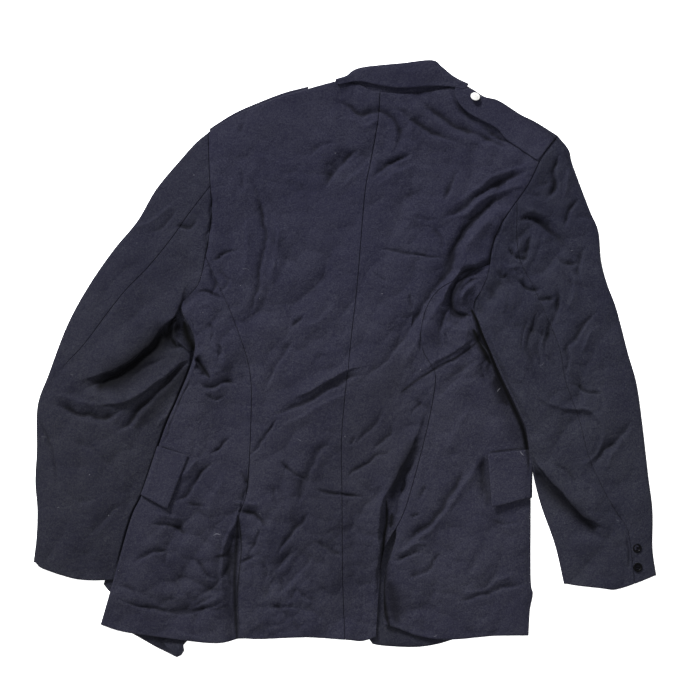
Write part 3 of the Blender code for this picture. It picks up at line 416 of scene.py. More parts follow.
leftSleeveCreases = (
    # heavy folds that fan out from the armpit
    (((-196, 122), (-218, 96), (-240, 66), (-262, 36), (-286, 12), (-325, -12), (-364, -34)),
     7.5, 13.0, 0.55, 11),
    (((-232, 58), (-247, 38), (-264, 14), (-290, -8), (-326, -30), (-364, -52)), -6.0, 10.0),
    (((-205, 4), (-228, -10), (-253, -27), (-275, -43), (-298, -57), (-338, -68)), 5.0, 7.0, 0.5, 4),
    (((-205, -3), (-226, -18), (-250, -41), (-265, -57), (-281, -76), (-300, -95), (-313, -106)),
     -6.0, 6.5),
    (((-214, -40), (-238, -72), (-262, -100)), 2.0, 8.0),
    (((-236, 2), (-262, -8), (-296, -34)), -2.4, 5.0),
    (((-228, 62), (-226, 44), (-218, 24), (-211, 8)), -7.0, 9.0),
    (((-246, 44), (-236, 22), (-224, 6)), -5.0, 8.0),
    (((-406, -63), (-384, -67), (-356, -79), (-325, -84), (-296, -70)), -4.4, 6.0),
    (((-400, -50), (-364, -58), (-330, -66)), 1.8, 9.0),
    (((-419, -71), (-404, -110), (-392, -150), (-388, -178)), -2.4, 5.5),
    (((-412, -100), (-400, -140), (-394, -176)), 1.0, 7.0),
    (((-372, -110), (-340, -128), (-316, -152), (-300, -178)), -1.8, 9.0),
    (((-300, -116), (-284, -142)), 1.0, 8.0),
    (((-270, 170), (-246, 178), (-226, 206)), -2.0, 5.0),
    (((-298, 176), (-266, 184), (-240, 204), (-226, 214)), 1.8, 5.0),
    (((-232, 180), (-212, 178), (-200, 192)), -2.4, 5.0),
    (((-226, 160), (-210, 140), (-206, 116)), 1.6, 7.0),
    (((-278, 120), (-270, 106), (-252, 92)), -1.0, 6.0),
    (((-300, 100), (-320, 62), (-348, 26)), -1.0, 12.0),
    (((-256, 268), (-252, 256)), -1.2, 4.0),
    (((-390, -180), (-360, -196), (-330, -190)), -1.0, 8.0),
    (((-340, -240), (-316, -212), (-296, -200)), -1.2, 8.0),
)
# a curl of cloth that stands in the hollow of the left armpit
leftCurl = ((((-225, 62), (-230, 48), (-231, 35), (-228, 23), (-217, 14), (-205, 6)), 7.0, 3.2, -0.3, 0),)
rightSleeveCreases = (
    (((291, 284), (284, 256), (285, 228), (269, 211)), -3.8, 4.6),
    (((306, 262), (300, 236), (296, 212)), 1.6, 7.0),
    (((256, 233), (279, 237)), -2.4, 3.6),
    (((238, 217), (252, 222), (270, 216)), -2.4, 3.4),
    (((242, 204), (262, 202)), 1.6, 4.0),
    (((227, 180), (243, 188), (258, 187), (279, 171), (297, 159)), -3.2, 4.4),
    (((230, 192), (260, 199), (286, 182)), 1.8, 6.0),
    (((254, 173), (250, 146), (237, 122)), -3.0, 4.6),
    (((240, 166), (234, 146), (226, 132)), 2.2, 7.0),
    (((320, 216), (307, 200), (298, 171)), -2.8, 4.6),
    (((312, 188), (330, 190), (344, 184)), -1.4, 6.0),
    (((233, 104), (250, 92), (268, 88)), -2.8, 3.8),
    (((226, 118), (236, 108), (244, 112)), 1.8, 5.0),
    (((205, 120), (212, 108), (222, 112)), -3.0, 3.6),
    (((261, 74), (284, 77)), -1.8, 3.6),
    (((292, 102), (286, 60), (274, 20), (272, -12)), -3.0, 6.0),
    (((270, 70), (258, 40), (252, 10), (262, -20)), -2.0, 6.0),
    (((262, 52), (268, 16), (280, -14)), 1.2, 6.0),
    (((310, 120), (312, 90), (300, 60)), 1.8, 9.0),
    (((355, 62), (339, 58), (317, 34), (303, 2), (301, -29)), -2.8, 5.4),
    (((350, 44), (332, 30), (318, 0)), 1.2, 8.0),
    (((301, -34), (326, -46), (356, -50)), -1.8, 4.0),
    (((246, -29), (266, -56), (298, -70), (326, -70), (348, -92), (348, -122), (330, -142), (298, -146)),
     2.4, 9.0),
    (((392, -84), (369, -113), (345, -135), (333, -155)), -3.6, 6.0),
    (((380, -110), (362, -132), (352, -156)), 1.4, 8.0),
    (((254, -134), (288, -170), (314, -199), (340, -222), (356, -232)), 6.4, 13.0, -0.8, -6),
    (((250, -150), (282, -186), (308, -212), (338, -239), (350, -248)), -6.0, 12.0, 0.4, 0),
    (((278, -140), (300, -152), (322, -172)), -1.8, 6.0),
    (((356, -196), (372, -214), (380, -232)), -1.0, 4.0),
    (((200, 96), (212, 78), (222, 52)), 1.8, 12.0),
    (((188, 54), (201, 20), (221, -26), (245, -72), (262, -112)), 2.4, 8.0),
    (((249, 60), (242, 32), (239, 4)), -1.1, 3.0),
    (((262, 68), (254, 38), (247, 4)), -1.3, 2.8),
    (((272, 44), (264, 14), (265, -20)), -1.2, 3.4),
    (((218, 152), (232, 136), (250, 132)), -2.2, 3.4),
    (((214, 130), (224, 122), (238, 124)), 2.0, 4.0),
    (((282, 138), (300, 126), (322, 128)), -2.0, 5.0),
    (((330, 150), (318, 130), (322, 100)), -2.2, 6.0),
    (((216, 44), (236, 10), (256, -36)), 1.6, 12.0),
    (((382, -240), (386, -262), (388, -290)), -1.4, 2.2),
)
frontCreases = (
    (((-276, -372), (-257, -382), (-243, -393), (-226, -408)), -3.0, 5.0, -0.4, 0),
    (((-240, -424), (-227, -410), (-217, -398), (-211, -386)), 5.0, 13.0, 0.2, 0),
)


creasing = {
    "bends": ((2.8, 17, 31, 32), (0.9, 6, 33, 34)),     # how far a line wanders, over what length, and seeds
    "uneven": (0.4, 21, 35),                            # how much the height varies, the same way
    "taper": (0.36, 0.08),                              # share of its length that an end takes
    "height": (1.45, 0.1),
    "steep": 0.5,                                       # lean of a crease that has none of its own
    "light": (-0.45, 0.83),                             # where the light comes from
    "blunt": 0.8,                                       # rounds the ridge's top
}


def press(points, creases):
    # how far the creases lift the cloth, and how far they push it sideways
    lift = np.zeros(len(points))
    push = np.zeros((len(points), 2))
    bent = points
    for far, size, seedX, seedY in creasing["bends"]:
        bent = bent + far * np.column_stack([rumple(points, size, seedX), rumple(points, size, seedY)])
    much, size, seed = creasing["uneven"]
    uneven = 1 + much * rumple(points, size, seed)
    for way, height, half, *turned in creases:
        lean, overhang = turned or (0.0, 0)
        path = smoothLine(way, 6)
        reach = 4 * half + abs(overhang)
        near = np.all((bent > path.min(0) - reach) & (bent < path.max(0) + reach), axis=1)
        if not near.any():
            continue
        gap, side, share, left = nearestOn(bent[near], path)
        strong = ease((abs(height) - 2) / 3)
        taper = creasing["taper"][0] - creasing["taper"][1] * strong
        ends = ease(share / taper + 0.04) * ease((1 - share) / taper + 0.04)
        if not lean:        # the steeper flank faces the light
            along = path[-1] - path[0]
            facing = along[0] * creasing["light"][1] - along[1] * creasing["light"][0]
            lean = creasing["steep"] * np.sign(height) * np.sign(facing)
        width = half * (0.55 + 0.45 * strong) * (0.35 + 0.65 * ends) * (1 - lean * side)
        blunt = np.sqrt(gap ** 2 + creasing["blunt"]) - 0.89
        shape = np.exp(-(blunt / width) ** 1.3) * ends
        tall = creasing["height"][0] - creasing["height"][1] * strong
        lift[near] += tall * height * shape * uneven[near]
        push[near] += overhang * shape[:, None] * left
    return lift, push


def rumple(points, size, seed):
    # soft unevenness, about -1 to 1, with features of this size
    lattice = np.random.default_rng(seed).standard_normal((64, 64)) * 0.5
    at = points / size + 17.3
    low = np.floor(at).astype(int)
    part = at - low
    part = part * part * (3 - 2 * part)
    corner = [[lattice[(low[:, 0] + i) % 64, (low[:, 1] + j) % 64] for j in (0, 1)] for i in (0, 1)]
    west = corner[0][0] + (corner[0][1] - corner[0][0]) * part[:, 1]
    east = corner[1][0] + (corner[1][1] - corner[1][0]) * part[:, 1]
    return west + (east - west) * part[:, 0]


# where the cloth is more crumpled: middle, reach each way and how much more
crumpled = (
    (285, 110, 90, 130, 1.3),       # right sleeve
    (-90, -290, 130, 80, 0.7),      # lower back
    (-235, -285, 70, 90, 0.7),      # below the left flap
    (140, 300, 70, 50, 0.6),        # right shoulder
    (195, 225, 60, 50, 0.8),
    (-225, 30, 40, 60, 0.6),        # armpits
    (160, 70, 40, 60, 0.5),
    (60, 320, 110, 50, 0.5),        # below the collar
)


def pillows(points, size, seed):
    # soft domes of cloth that meet in sharp valleys
    cell = points / size
    corner = np.floor(cell).astype(int)
    table = np.random.default_rng(seed).random((32, 32, 3))
    highest = np.full(len(points), -9.0)
    for i in (-1, 0, 1):
        for j in (-1, 0, 1):
            at = corner + (i, j)
            pick = table[at[:, 0] % 32, at[:, 1] % 32]
            dome = 0.45 * pick[:, 2] - ((cell - at - pick[:, :2]) ** 2).sum(1)
            highest = np.maximum(highest, dome)
    return highest - 0.12


crumples = {
    "wander": 7,
    "long": {"size": 34, "seed": 8, "height": 4.6, "stretch": (1.0, 0.5)},
    "crossed": {"size": 26, "seed": 9, "height": 2.8, "stretch": (1.0, 0.6)},
    "small": {"size": 13, "seed": 10, "height": 1.2, "stretch": (1.0, 1.0)},
    "patch": 55,            # size of the patches that they lie in
}


def wrinkles(points):
    # patches of angular creases over soft unevenness
    bent = points + crumples["wander"] * np.column_stack([rumple(points, 42, 3), rumple(points, 42, 4)])
    turned = bent @ np.array([[0.8, 0.6], [-0.6, 0.8]])
    crossed = bent @ np.array([[0.5, -0.87], [0.87, 0.5]])
    up = 1.4 * rumple(bent, 75, 5) + 0.7 * rumple(turned, 30, 6)
    for at, kind in ((turned, "long"), (crossed, "crossed"), (bent, "small")):
        kind = crumples[kind]
        where = ease(0.5 + rumple(points, crumples["patch"], kind["seed"] + 20))
        up += kind["height"] * where * pillows(at * kind["stretch"], kind["size"], kind["seed"])
    more = np.ones(len(points))
    for x, y, reachX, reachY, extra in crumpled:
        more += extra * spot(points, x, y, reachX, reachY)
    return up * more


# heights of the cloth, in millimetres above the surface that it lies on

# where the underside stands up over what lies below it: middle, half sizes, how far up
frontRises = (
    (0, -160, 66, 185, 3.6),        # the buttons
    (20, 190, 260, 250, 1.9),       # lapels and hidden strap
    (-66, 346, 62, 60, 6.0),        # the hidden strap's button
    (-190, -165, 125, 95, 2.5),     # left flap
    (190, -165, 105, 95, 2.5),      # right flap
)
sleeveRises = ((-402, -272, 80, 80, 2.9),)


def rise(p, table, wider=0.0):
    up = np.zeros(len(p))
    for x, y, halfX, halfY, height in table:
        reach = ease((halfX + wider - abs(p[:, 0] - x)) / 30) * ease((halfY + wider - abs(p[:, 1] - y)) / 30)
        up = np.maximum(up, height * reach)
    return up


# where a part rides over its neighbour: from one height down to another, this far inside its edge and away
# from the armhole, each with the span over which it comes up
rides = {
    "body": {"top": (100, 46), "bottom": (-358, 40), "inside": (84, 52), "armhole": 13,
             "lower": (-20, 60), "less": 3.2},
    "sleeve": {"top": (112, 50), "bottom": (-165, 50), "inside": (72, 48), "armhole": 30},
}
landing = {"past": 6, "span": 5}      # how far past the edge below a riding part comes down again


def bodyLift(p):
    ride = rides["body"]
    inside = p[:, 0] - across(line["leftEdge"], p[:, 1])
    along = belowLine(p, *ride["top"]) * ease(distanceTo(p, armLower["left"]) / ride["armhole"])
    along = along * aboveLine(p, *ride["bottom"])
    most = jacket["liftLeft"] - ride["less"] * belowLine(p, *ride["lower"])
    return most * ease((ride["inside"][0] - inside) / ride["inside"][1]) * along


def sleeveLift(p, side):
    if side == "left":
        return np.zeros(len(p))
    ride = rides["sleeve"]
    inside = p[:, 0] - across(line["rightSleeveInner"], p[:, 1])
    along = belowLine(p, *ride["top"]) * aboveLine(p, *ride["bottom"])
    along = along * ease(distanceTo(p, line["rightArmhole"]) / ride["armhole"])
    return jacket["liftRight"] * ease((ride["inside"][0] - inside) / ride["inside"][1]) * along


def shoulderPad(p):
    return spot(p, -178, 250, 55, 60) + spot(p, 258, 262, 55, 60)


def lapped(p):
    # where the right front lies on the left one
    inside = p[:, 0] - across(line["centreSeam"], p[:, 1])
    return ease((jacket["overlap"] + 52 - inside) / 34) * belowLine(p, 80, 34)


def bodyFloor(p):
    # the underside comes down again just past the edge of the sleeve that it rides over
    past = across(line["leftSleeveInner"], p[:, 1]) + landing["past"] - p[:, 0]
    return bodyLift(p) * ease(past / landing["span"]) + rise(p, frontRises)


def softMax(a, b, width=0.6):
    return b + width * np.logaddexp(0, (a - b) / width)


# where the right sleeve's edge lies further in on the body: height, span and how far
sleeveSteps = ((-46, 20, 5), (22, 10, 4))


def bodyTop(p, creased=True):
    full = 1 - np.exp(-distanceTo(p, *outline) / jacket["roll"])
    flatHem = 0.5 + 0.5 * aboveLine(p, -385, 110)
    bump = rise(p, frontRises, 18.0)
    up = jacket["edge"] + jacket["crown"] * full * flatHem + bump * (1 - full) + bodyLift(p)
    up += jacket["pad"] * full * shoulderPad(p)
    push = np.zeros((len(p), 2))
    if creased:
        lift, push = press(p, bodyCreases)
        up += (0.6 + 0.4 * full) * lift + (0.5 + 0.9 * full) * wrinkles(p)
        push = push * ease(distanceTo(p, line["leftArmhole"], line["rightArmhole"]) / 10)[:, None]
    overlap = jacket["lapStep"] * (abs(p[:, 0] - across(line["centreSeam"], p[:, 1])) < 80) * (p[:, 1] < 80)
    least = bump + bodyLift(p) + jacket["frontWall"] + jacket["wall"] + 0.5 + overlap
    up = softMax(up, least, 0.35)
    # where the right sleeve lies on the body, the body stays below it
    gap = 2.0
    for height, span, further in sleeveSteps:
        gap = gap + further * np.exp(-((p[:, 1] - height) / span) ** 2)
    under = ease((p[:, 0] - across(line["rightSleeveInner"], p[:, 1]) + gap + 5) / 5)
    under *= belowLine(p, 70, 12) * aboveLine(p, -178, 30)
    return up - under * np.maximum(up - jacket["underSleeve"], 0), push


def sleeveFloor(p, side):
    if side == "left":
        return rise(p, sleeveRises)
    past = across(line["rightEdge"], p[:, 1]) + landing["past"] - p[:, 0]
    return sleeveLift(p, side) * ease(past / landing["span"])


def sleeveTop(p, side):
    inner = distanceTo(p, smoothLine(lines[side + "SleeveInner"], 4))
    if side == "left":
        inner = np.maximum(0.0, inner - 12 * belowLine(p, 64, 24) * aboveLine(p, -50, 40))
    shoulder, outer = (outline[0], outline[3]) if side == "left" else (outline[2], outline[4])
    away = np.minimum(inner, distanceTo(p, shoulder, outer))
    full = 1 - np.exp(-away / jacket["roll"])
    flatCuff = 0.5 + 0.5 * aboveLine(p, -305, 90)
    up = jacket["edge"] + (jacket["crown"] + 2 * belowLine(p, 100, 100)) * full * flatCuff
    up += sleeveLift(p, side) + jacket["pad"] * full * shoulderPad(p)
    if side == "left":
        up += rise(p, sleeveRises) * (1 - full)
    lift, push = press(p, leftSleeveCreases if side == "left" else rightSleeveCreases)
    lift = lift * (1.25 if side == "right" else 1.0)
    up += (0.6 + 0.4 * full) * lift + (0.4 + 0.9 * full) * wrinkles(p)
    # the sleeve head meets the body's height along the armhole
    near = ease(1 - distanceTo(p, line[side + "Armhole"]) / 34)
    joined = near * aboveLine(p, 60, 40)
    up += joined * (bodyTop(p)[0] - up)
    up = softMax(up, sleeveFloor(p, side) + 2 * jacket["wall"] + 0.6, 0.35)
    if side == "left":
        up += press(p, leftCurl)[0]
        # and stays below the body's edge where that lies on it
        near = 3.0 + 4.0 * aboveLine(p, -14, 18)
        under = ease((p[:, 0] - across(line["leftEdge"], p[:, 1]) + near) / (0.7 * near))
        under = under * belowLine(p, 76, 14)
        up -= under * np.maximum(up - jacket["underBody"], 0)
    return up, push * (1 - joined)[:, None]


# closed sheets of cloth from grids of points

def atGrid(field, plan):
    # a height field on a grid of plan points, with its sideways push
    height, push = field(plan.reshape(-1, 2))
    moved = plan + push.reshape(plan.shape)
    return np.dstack([moved, height.reshape(plan.shape[:2])])


def plain(field):
    return lambda p: (field(p), np.zeros((len(p), 2)))


stitched = {"welt": 0.25, "from": 6.0, "wide": 3.5, "beside": 0.34}      # a low welt runs beside the groove


def groove(points, sides, deep=1.2):
    # a narrow groove at each sewn edge, with one more line of points beside it
    out = points
    for side in sides:
        out = {"l": out, "r": out[:, ::-1], "b": out.swapaxes(0, 1), "t": out[::-1].swapaxes(0, 1)}[side]
        gap = np.linalg.norm(out[..., :2] - out[:, :1, :2], axis=2)
        out = out.copy()
        out[..., 2] += stitched["welt"] * np.exp(-((gap - stitched["from"]) / stitched["wide"]) ** 2)
        beside = out[:, 0] + (out[:, 1] - out[:, 0]) * stitched["beside"]
        edge = out[:, 0] - (0, 0, deep)
        out = np.concatenate([edge[:, None], beside[:, None], out[:, 1:]], axis=1)
        out = {"l": out, "r": out[:, ::-1], "b": out.swapaxes(0, 1), "t": out.swapaxes(0, 1)[::-1]}[side]
    return out


def faceWay(outer):
    sideways = np.gradient(outer, axis=1)
    along = np.gradient(outer, axis=0)
    way = np.cross(sideways, along)
    return way / np.maximum(np.linalg.norm(way, axis=2, keepdims=True), 1e-9)


def sheetMesh(name, outer, wall, material, upper=None):
    # a closed wall below a grid of points, with rounded rims and a coarser inside; the first columns face up
    rows, cols = outer.shape[:2]
    way = faceWay(outer)
    upper = upper or cols
    turned = way[:, :upper, 2].mean() < 0
    way = -way if turned else way
    way[:, :2], way[:, -2:] = way[:, 2:3], way[:, -3:-2]        # the wall's rim stands square at a groove
    way[:2], way[-2:] = way[2:3], way[-3:-2]
    keptRows = np.unique(np.append(np.arange(0, rows, 2), rows - 1))
    keptCols = np.unique(np.append(np.arange(0, cols, 2), cols - 1))
    inner = (outer - wall * way)[np.ix_(keptRows, keptCols)]
    index = np.arange(rows * cols).reshape(rows, cols)
    inside = rows * cols + np.arange(inner.shape[0] * inner.shape[1]).reshape(inner.shape[:2])
    r, c = rows - 1, cols - 1
    border = ([(0, j) for j in range(c)] + [(i, c) for i in range(r)] + [(r, j) for j in range(c, 0, -1)]
              + [(i, 0) for i in range(r, 0, -1)])
    at = tuple(np.array(border).T)
    near = (np.clip(at[0], 1, r - 1), np.clip(at[1], 1, c - 1))
    out = outer[at] - outer[near]
    out -= (out * way[at]).sum(1, keepdims=True) * way[at]
    out /= np.maximum(np.linalg.norm(out, axis=1, keepdims=True), 1e-9)
    rim = outer[at] - 0.5 * wall * way[at] + 0.42 * wall * out
    ring = inside.size + rows * cols + np.arange(len(border))
    place = {key: n for n, key in enumerate(border)}
    slot = {(i, j): inside[m, n] for m, i in enumerate(keptRows) for n, j in enumerate(keptCols)
            if (i, j) in place}
    marks = sorted(place[key] for key in slot)

    def squares(grid):
        return np.stack([grid[:-1, :-1], grid[:-1, 1:], grid[1:, 1:], grid[1:, :-1]], axis=-1).reshape(-1, 4)

    faces = squares(index).tolist() + squares(inside)[:, ::-1].tolist()
    loop = index[at]
    after = np.roll(loop, -1), np.roll(ring, -1)
    faces += np.column_stack([after[0], loop, ring, after[1]]).tolist()
    for first, last in zip(marks, marks[1:] + [marks[0] + len(border)]):
        span = [int(ring[k % len(border)]) for k in range(first, last + 1)]
        faces.append(span[::-1] + [int(slot[border[first]]), int(slot[border[last % len(border)]])])
    if turned:
        faces = [face[::-1] for face in faces]
    points = np.vstack([outer.reshape(-1, 3), inner.reshape(-1, 3), rim])
    points[:, 2] = np.maximum(points[:, 2], 0)
    mesh = bpy.data.meshes.new(name)
    mesh.from_pydata((points * mm).tolist(), [], faces)
    mesh.polygons.foreach_set("use_smooth", np.ones(len(faces), bool))
    # the cloth's own coordinates, in metres along and across the panel
    u, v = np.zeros((rows, cols)), np.zeros((rows, cols))
    u[:, 1:] = np.cumsum(np.linalg.norm(np.diff(outer, axis=1), axis=2), axis=1)
    v[1:] = np.cumsum(np.linalg.norm(np.diff(outer, axis=0), axis=2), axis=0).mean(1, keepdims=True)
    flat = np.stack([u, v], axis=-1) * mm
    flat = np.vstack([flat.reshape(-1, 2), flat[np.ix_(keptRows, keptCols)].reshape(-1, 2), flat[at]])
    corner = np.empty(len(mesh.loops), int)
    mesh.loops.foreach_get("vertex_index", corner)
    mesh.uv_layers.new(name="cloth").data.foreach_set("uv", flat[corner].reshape(-1).astype(np.float32))
    # painted shade of the folds and hollows, carried to the material as the attribute fold
    fold = foldDepth(name, outer, upper)
    fold = np.concatenate([fold.reshape(-1), fold[np.ix_(keptRows, keptCols)].reshape(-1), fold[at]])
    mesh.attributes.new("fold", "FLOAT", "POINT").data.foreach_set("value", fold.astype(np.float32))
    mesh.materials.append(material)
    piece = bpy.data.objects.new(name, mesh)
    bpy.context.collection.objects.link(piece)
    return piece


def blurred(height, rounds):
    for _ in range(rounds):
        wide = np.pad(height, 1, mode="edge")
        height = (wide[:-2, 1:-1] + wide[2:, 1:-1] + wide[1:-1, :-2] + wide[1:-1, 2:] + height) / 5
    return height


# painted shade in hollows, darker than the creases' own painted shade: points, half width and depth, where 1
# is as dark as deep in a fold
# a broad painted shade over the lower back and waist
waistPaintedShade = (((70, -20), (30, -100), (-14, -160), (-20, -210), (-6, -260), (0, -320)), 62.0, 0.34)
broad = 30.0        # half width above which a hollow is broad
paintedHollowShade = {
    "side_right": (
        (((173, 63), (180, 48), (186, 31), (195, 10), (210, -27), (229, -68), (242, -98), (247, -120),
          (250, -146)), 5.4, 1.5),
        (((175, 36), (182, 22), (190, 6), (197, -8)), 6.5, 1.5),
        (((186, 20), (198, -12), (213, -46), (228, -82), (240, -124)), 16.0, 0.5),
        (((204, -28), (212, -46), (220, -64)), 10.0, 1.2),
        (((190, 30), (171, 13), (154, 1), (135, -9), (116, -20), (96, -33)), 1.7, 1.2),
        (((56, -262), (54, -290), (52, -320), (56, -350), (60, -365)), 4.5, 1.4),
        (((60, -308), (66, -332), (70, -356)), 13.0, 0.9),
        (((196, -134), (192, -164), (193, -198)), 9.0, 0.5),
        (((197, -129), (222, -126), (248, -123)), 1.4, 1.0),
        (((187, 127), (176, 119), (165, 110), (152, 94), (145, 77), (150, 60), (170, 57)), 3.4, 1.1),
        (((142, 68), (134, 54), (127, 34)), 2.2, 0.6),
        (((189, -136), (190, -164), (193, -192)), 3.2, 0.8),
    ),
    "side_left": (
        (((-205, 4), (-196, -10), (-184, -27)), 3.4, 1.4),
        (((-145, -216), (-148, -260), (-150, -300), (-149, -345), (-147, -385)), 4.0, 1.3),
        (((-153, -290), (-157, -340), (-156, -385)), 12.0, 0.5),
        (((-176, -271), (-160, -269), (-145, -268)), 2.4, 1.1),
        (((-250, -121), (-231, -129), (-211, -137)), 1.4, 1.0),
    ),
    "back_right": (
        (((130, -12), (116, -20), (96, -33), (76, -48)), 1.7, 1.0),
        (((97, -112), (84, -138), (72, -164), (64, -190)), 9.0, 0.8),
        (((56, -196), (57, -222), (53, -247), (50, -290), (48, -330), (46, -372)), 3.0, 1.4),
        (((64, -214), (62, -230)), 5.0, 1.2),
        waistPaintedShade,
    ),
    "back_left": ((((-144, -216), (-142, -262), (-147, -325), (-144, -384)), 1.8, 1.4), waistPaintedShade),
    "sleeve_under_left": (
        (((-230, 50), (-239, 42), (-239, 30), (-230, 15)), 4.6, 1.4),
        (((-219, 46), (-214, 28), (-204, 8)), 8.0, 1.5),
        (((-228, 40), (-244, 28), (-262, 12), (-278, -4), (-300, -21), (-332, -39)), 18.0, 1.35),
        (((-208, -12), (-226, -30), (-248, -54), (-264, -75), (-282, -94)), 11.0, 0.8),
        (((-212, 0), (-232, 4), (-256, -8)), 12.0, 0.35),
        (((-206, -8), (-219, -30), (-229, -56), (-239, -80), (-254, -120)), 2.4, 0.9),
    ),
    "sleeve_under_right": (
        (((252, -148), (282, -182), (310, -209), (338, -232)), 9.0, 1.0),
        (((262, 70), (254, 30), (252, 0)), 14.0, 0.4),
        (((290, 90), (280, 40), (276, 0)), 12.0, 0.35),
    ),
}


foldReaches = ((20, 4.0), (120, 8.0))      # rounds of blurring, and the depth below that level that is a 1


def foldDepth(name, outer, upper):
    # how much painted shade a point gets: 1 deep in a fold, 0 on level cloth, below 0 on a ridge, where it
    # becomes a painted highlight
    height = outer[:, :upper, 2]
    fold = np.zeros(outer.shape[:2])
    for rounds, full in foldReaches:
        fold[:, :upper] += (blurred(height, rounds) - height) / full
    fold = np.clip(fold * np.sqrt(abs(fold)), -1, 1)
    for way, half, depth in paintedHollowShade.get(name.replace("_cloth", ""), ()):
        gap, _, share, _ = nearestOn(outer[:, :upper, :2].reshape(-1, 2), smoothLine(way, 6))
        ends = ease(share / 0.15) * ease((1 - share) / 0.15)
        dark = depth * np.exp(-(gap / (half * (0.4 + 0.6 * ends))) ** 2)
        dark = dark.reshape(height.shape)
        # a broad hollow adds its painted shade to what lies in it, and a narrow one's painted shade covers it
        fold[:, :upper] = fold[:, :upper] + dark if half > broad else np.maximum(fold[:, :upper], dark)
    return fold


def edgeWays(plan):
    # inward directions along the last column of a plan grid
    edge, inner = plan[:, -1], plan[:, -4]
    along = np.gradient(edge, axis=0)
    normal = np.column_stack([-along[:, 1], along[:, 0]]) / np.maximum(np.hypot(*along.T), 1e-9)[:, None]
    turn = np.sign((normal * (inner - edge)).sum(1))
    for k in range(1, len(turn)):        # a corner never turns the edge inside out
        if turn[k] != turn[k - 1] and (normal[k] * normal[k - 1]).sum() > 0:
            turn[k] = turn[k - 1]
    return normal * turn[:, None]


def drawBack(plan, edge, way, radius, row, part):
    # moves the cloth back from an edge by the radius of its fold; a row that is sewn keeps to its seam
    reach = np.linalg.norm(plan - edge[:, None], axis=2)
    back = radius[:, None] * (1 - ease(reach / (radius[:, None] * 10)))
    shift = back[..., None] * way[:, None]
    if row is not None:
        order = np.argsort(reach[row], kind="stable")
        seam = plan[row][order]
        along = np.concatenate([[0.0], np.cumsum(np.hypot(*np.diff(seam, axis=0).T))])
        goal = along + back[row][order]
        kept = np.zeros_like(seam)
        kept[order] = np.column_stack([np.interp(goal, along, seam[:, k]) for k in (0, 1)]) - seam
        shift = shift * (1 - part)[:, None, None] + part[:, None, None] * kept[None]
    return plan + shift


def wrapped(upperPlan, lowerPlan, topField, floorField, off=0.0, steps=8, sewn=None):
    # a panel that turns over an edge: upper run, round fold, lower run
    way = edgeWays(upperPlan)
    row, part = None, np.zeros(len(way))
    if sewn is not None:        # the row that is sewn into the armhole turns along its seam
        row = 0 if sewn == "start" else len(way) - 1
        first = upperPlan[row, -4] - upperPlan[row, -1]
        part = ease(1 - abs(np.arange(len(way)) - row) / 9.0)
        way = way * (1 - part)[:, None] + part[:, None] * first / np.hypot(*first)
        way /= np.hypot(*way.T)[:, None]
    edge = upperPlan[:, -1]
    high = topField(edge)[0]
    low = floorField(edge)
    radius = (high - low) / 2
    upper = atGrid(topField, drawBack(upperPlan, edge, way, radius, row, part)[:, :-1])
    upper[..., 2] += off
    lower = atGrid(plain(floorField), drawBack(lowerPlan, edge, way, radius, row, part)[:, 1:])
    lower[..., 2] -= off
    turn = np.pi * (0.5 - np.arange(steps + 1) / steps)
    middle = edge + way * radius[:, None]
    around = middle[:, None] - way[:, None] * ((radius + off)[:, None] * np.cos(turn))[..., None]
    heights = ((high + low) / 2)[:, None] + (radius + off)[:, None] * np.sin(turn)
    return np.concatenate([upper, np.dstack([around, heights]), lower], axis=1), upper.shape[1]


sheetRows = []


def clothPiece(name, node, outer, material, flat, area, restsOn, wall=jacket["wall"], upper=None):
    piece = sheetMesh(name, outer, wall, material, upper)
    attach(piece, "root")
    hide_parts(node)
    sheetRows.append((piece, flat, area, restsOn))
    return piece


def newGroup(name, inputs, outputs):
    group = bpy.data.node_groups.new(name, "ShaderNodeTree")
    for label, kind, value in inputs:
        socket = group.interface.new_socket(name=label, in_out="INPUT", socket_type=kind)
        if value is not None:
            socket.default_value = value
    for label, kind in outputs:
        group.interface.new_socket(name=label, in_out="OUTPUT", socket_type=kind)
    return group, group.nodes.new("NodeGroupInput"), group.nodes.new("NodeGroupOutput")


def addNode(tree, kind, settings=None, **sockets):
    node = tree.nodes.new(kind)
    for key, value in (settings or {}).items():
        setattr(node, key, value)
    for key, value in sockets.items():
        socket = node.inputs[int(key[1:])] if key[0] == "i" and key[1:].isdigit() else node.inputs[key]
        if isinstance(value, bpy.types.NodeSocket):
            tree.links.new(value, socket)
        else:
            socket.default_value = value
    return node


def mathNode(tree, operation, a, b=0.0, clamp=False):
    settings = {"operation": operation, "use_clamp": clamp}
    return addNode(tree, "ShaderNodeMath", settings, i0=a, i1=b).outputs[0]


def plus(tree, a, b, clamp=False):
    return mathNode(tree, "ADD", a, b, clamp)


def times(tree, a, b, clamp=False):
    return mathNode(tree, "MULTIPLY", a, b, clamp)


def above(tree, a, b, amount, clamp=False):
    # how far a is above b, times an amount
    return times(tree, mathNode(tree, "SUBTRACT", a, b), amount, clamp)


def noise(tree, place, **pattern):
    return addNode(tree, "ShaderNodeTexNoise", Vector=place, **pattern).outputs[0]


def mixColour(tree, share, a, b, blend="MIX"):
    node = addNode(tree, "ShaderNodeMix", {"data_type": "RGBA", "blend_type": blend}, i0=share)
    for socket, value in ((node.inputs[6], a), (node.inputs[7], b)):
        if isinstance(value, bpy.types.NodeSocket):
            tree.links.new(value, socket)
        else:
            socket.default_value = value
    return node.outputs[2]


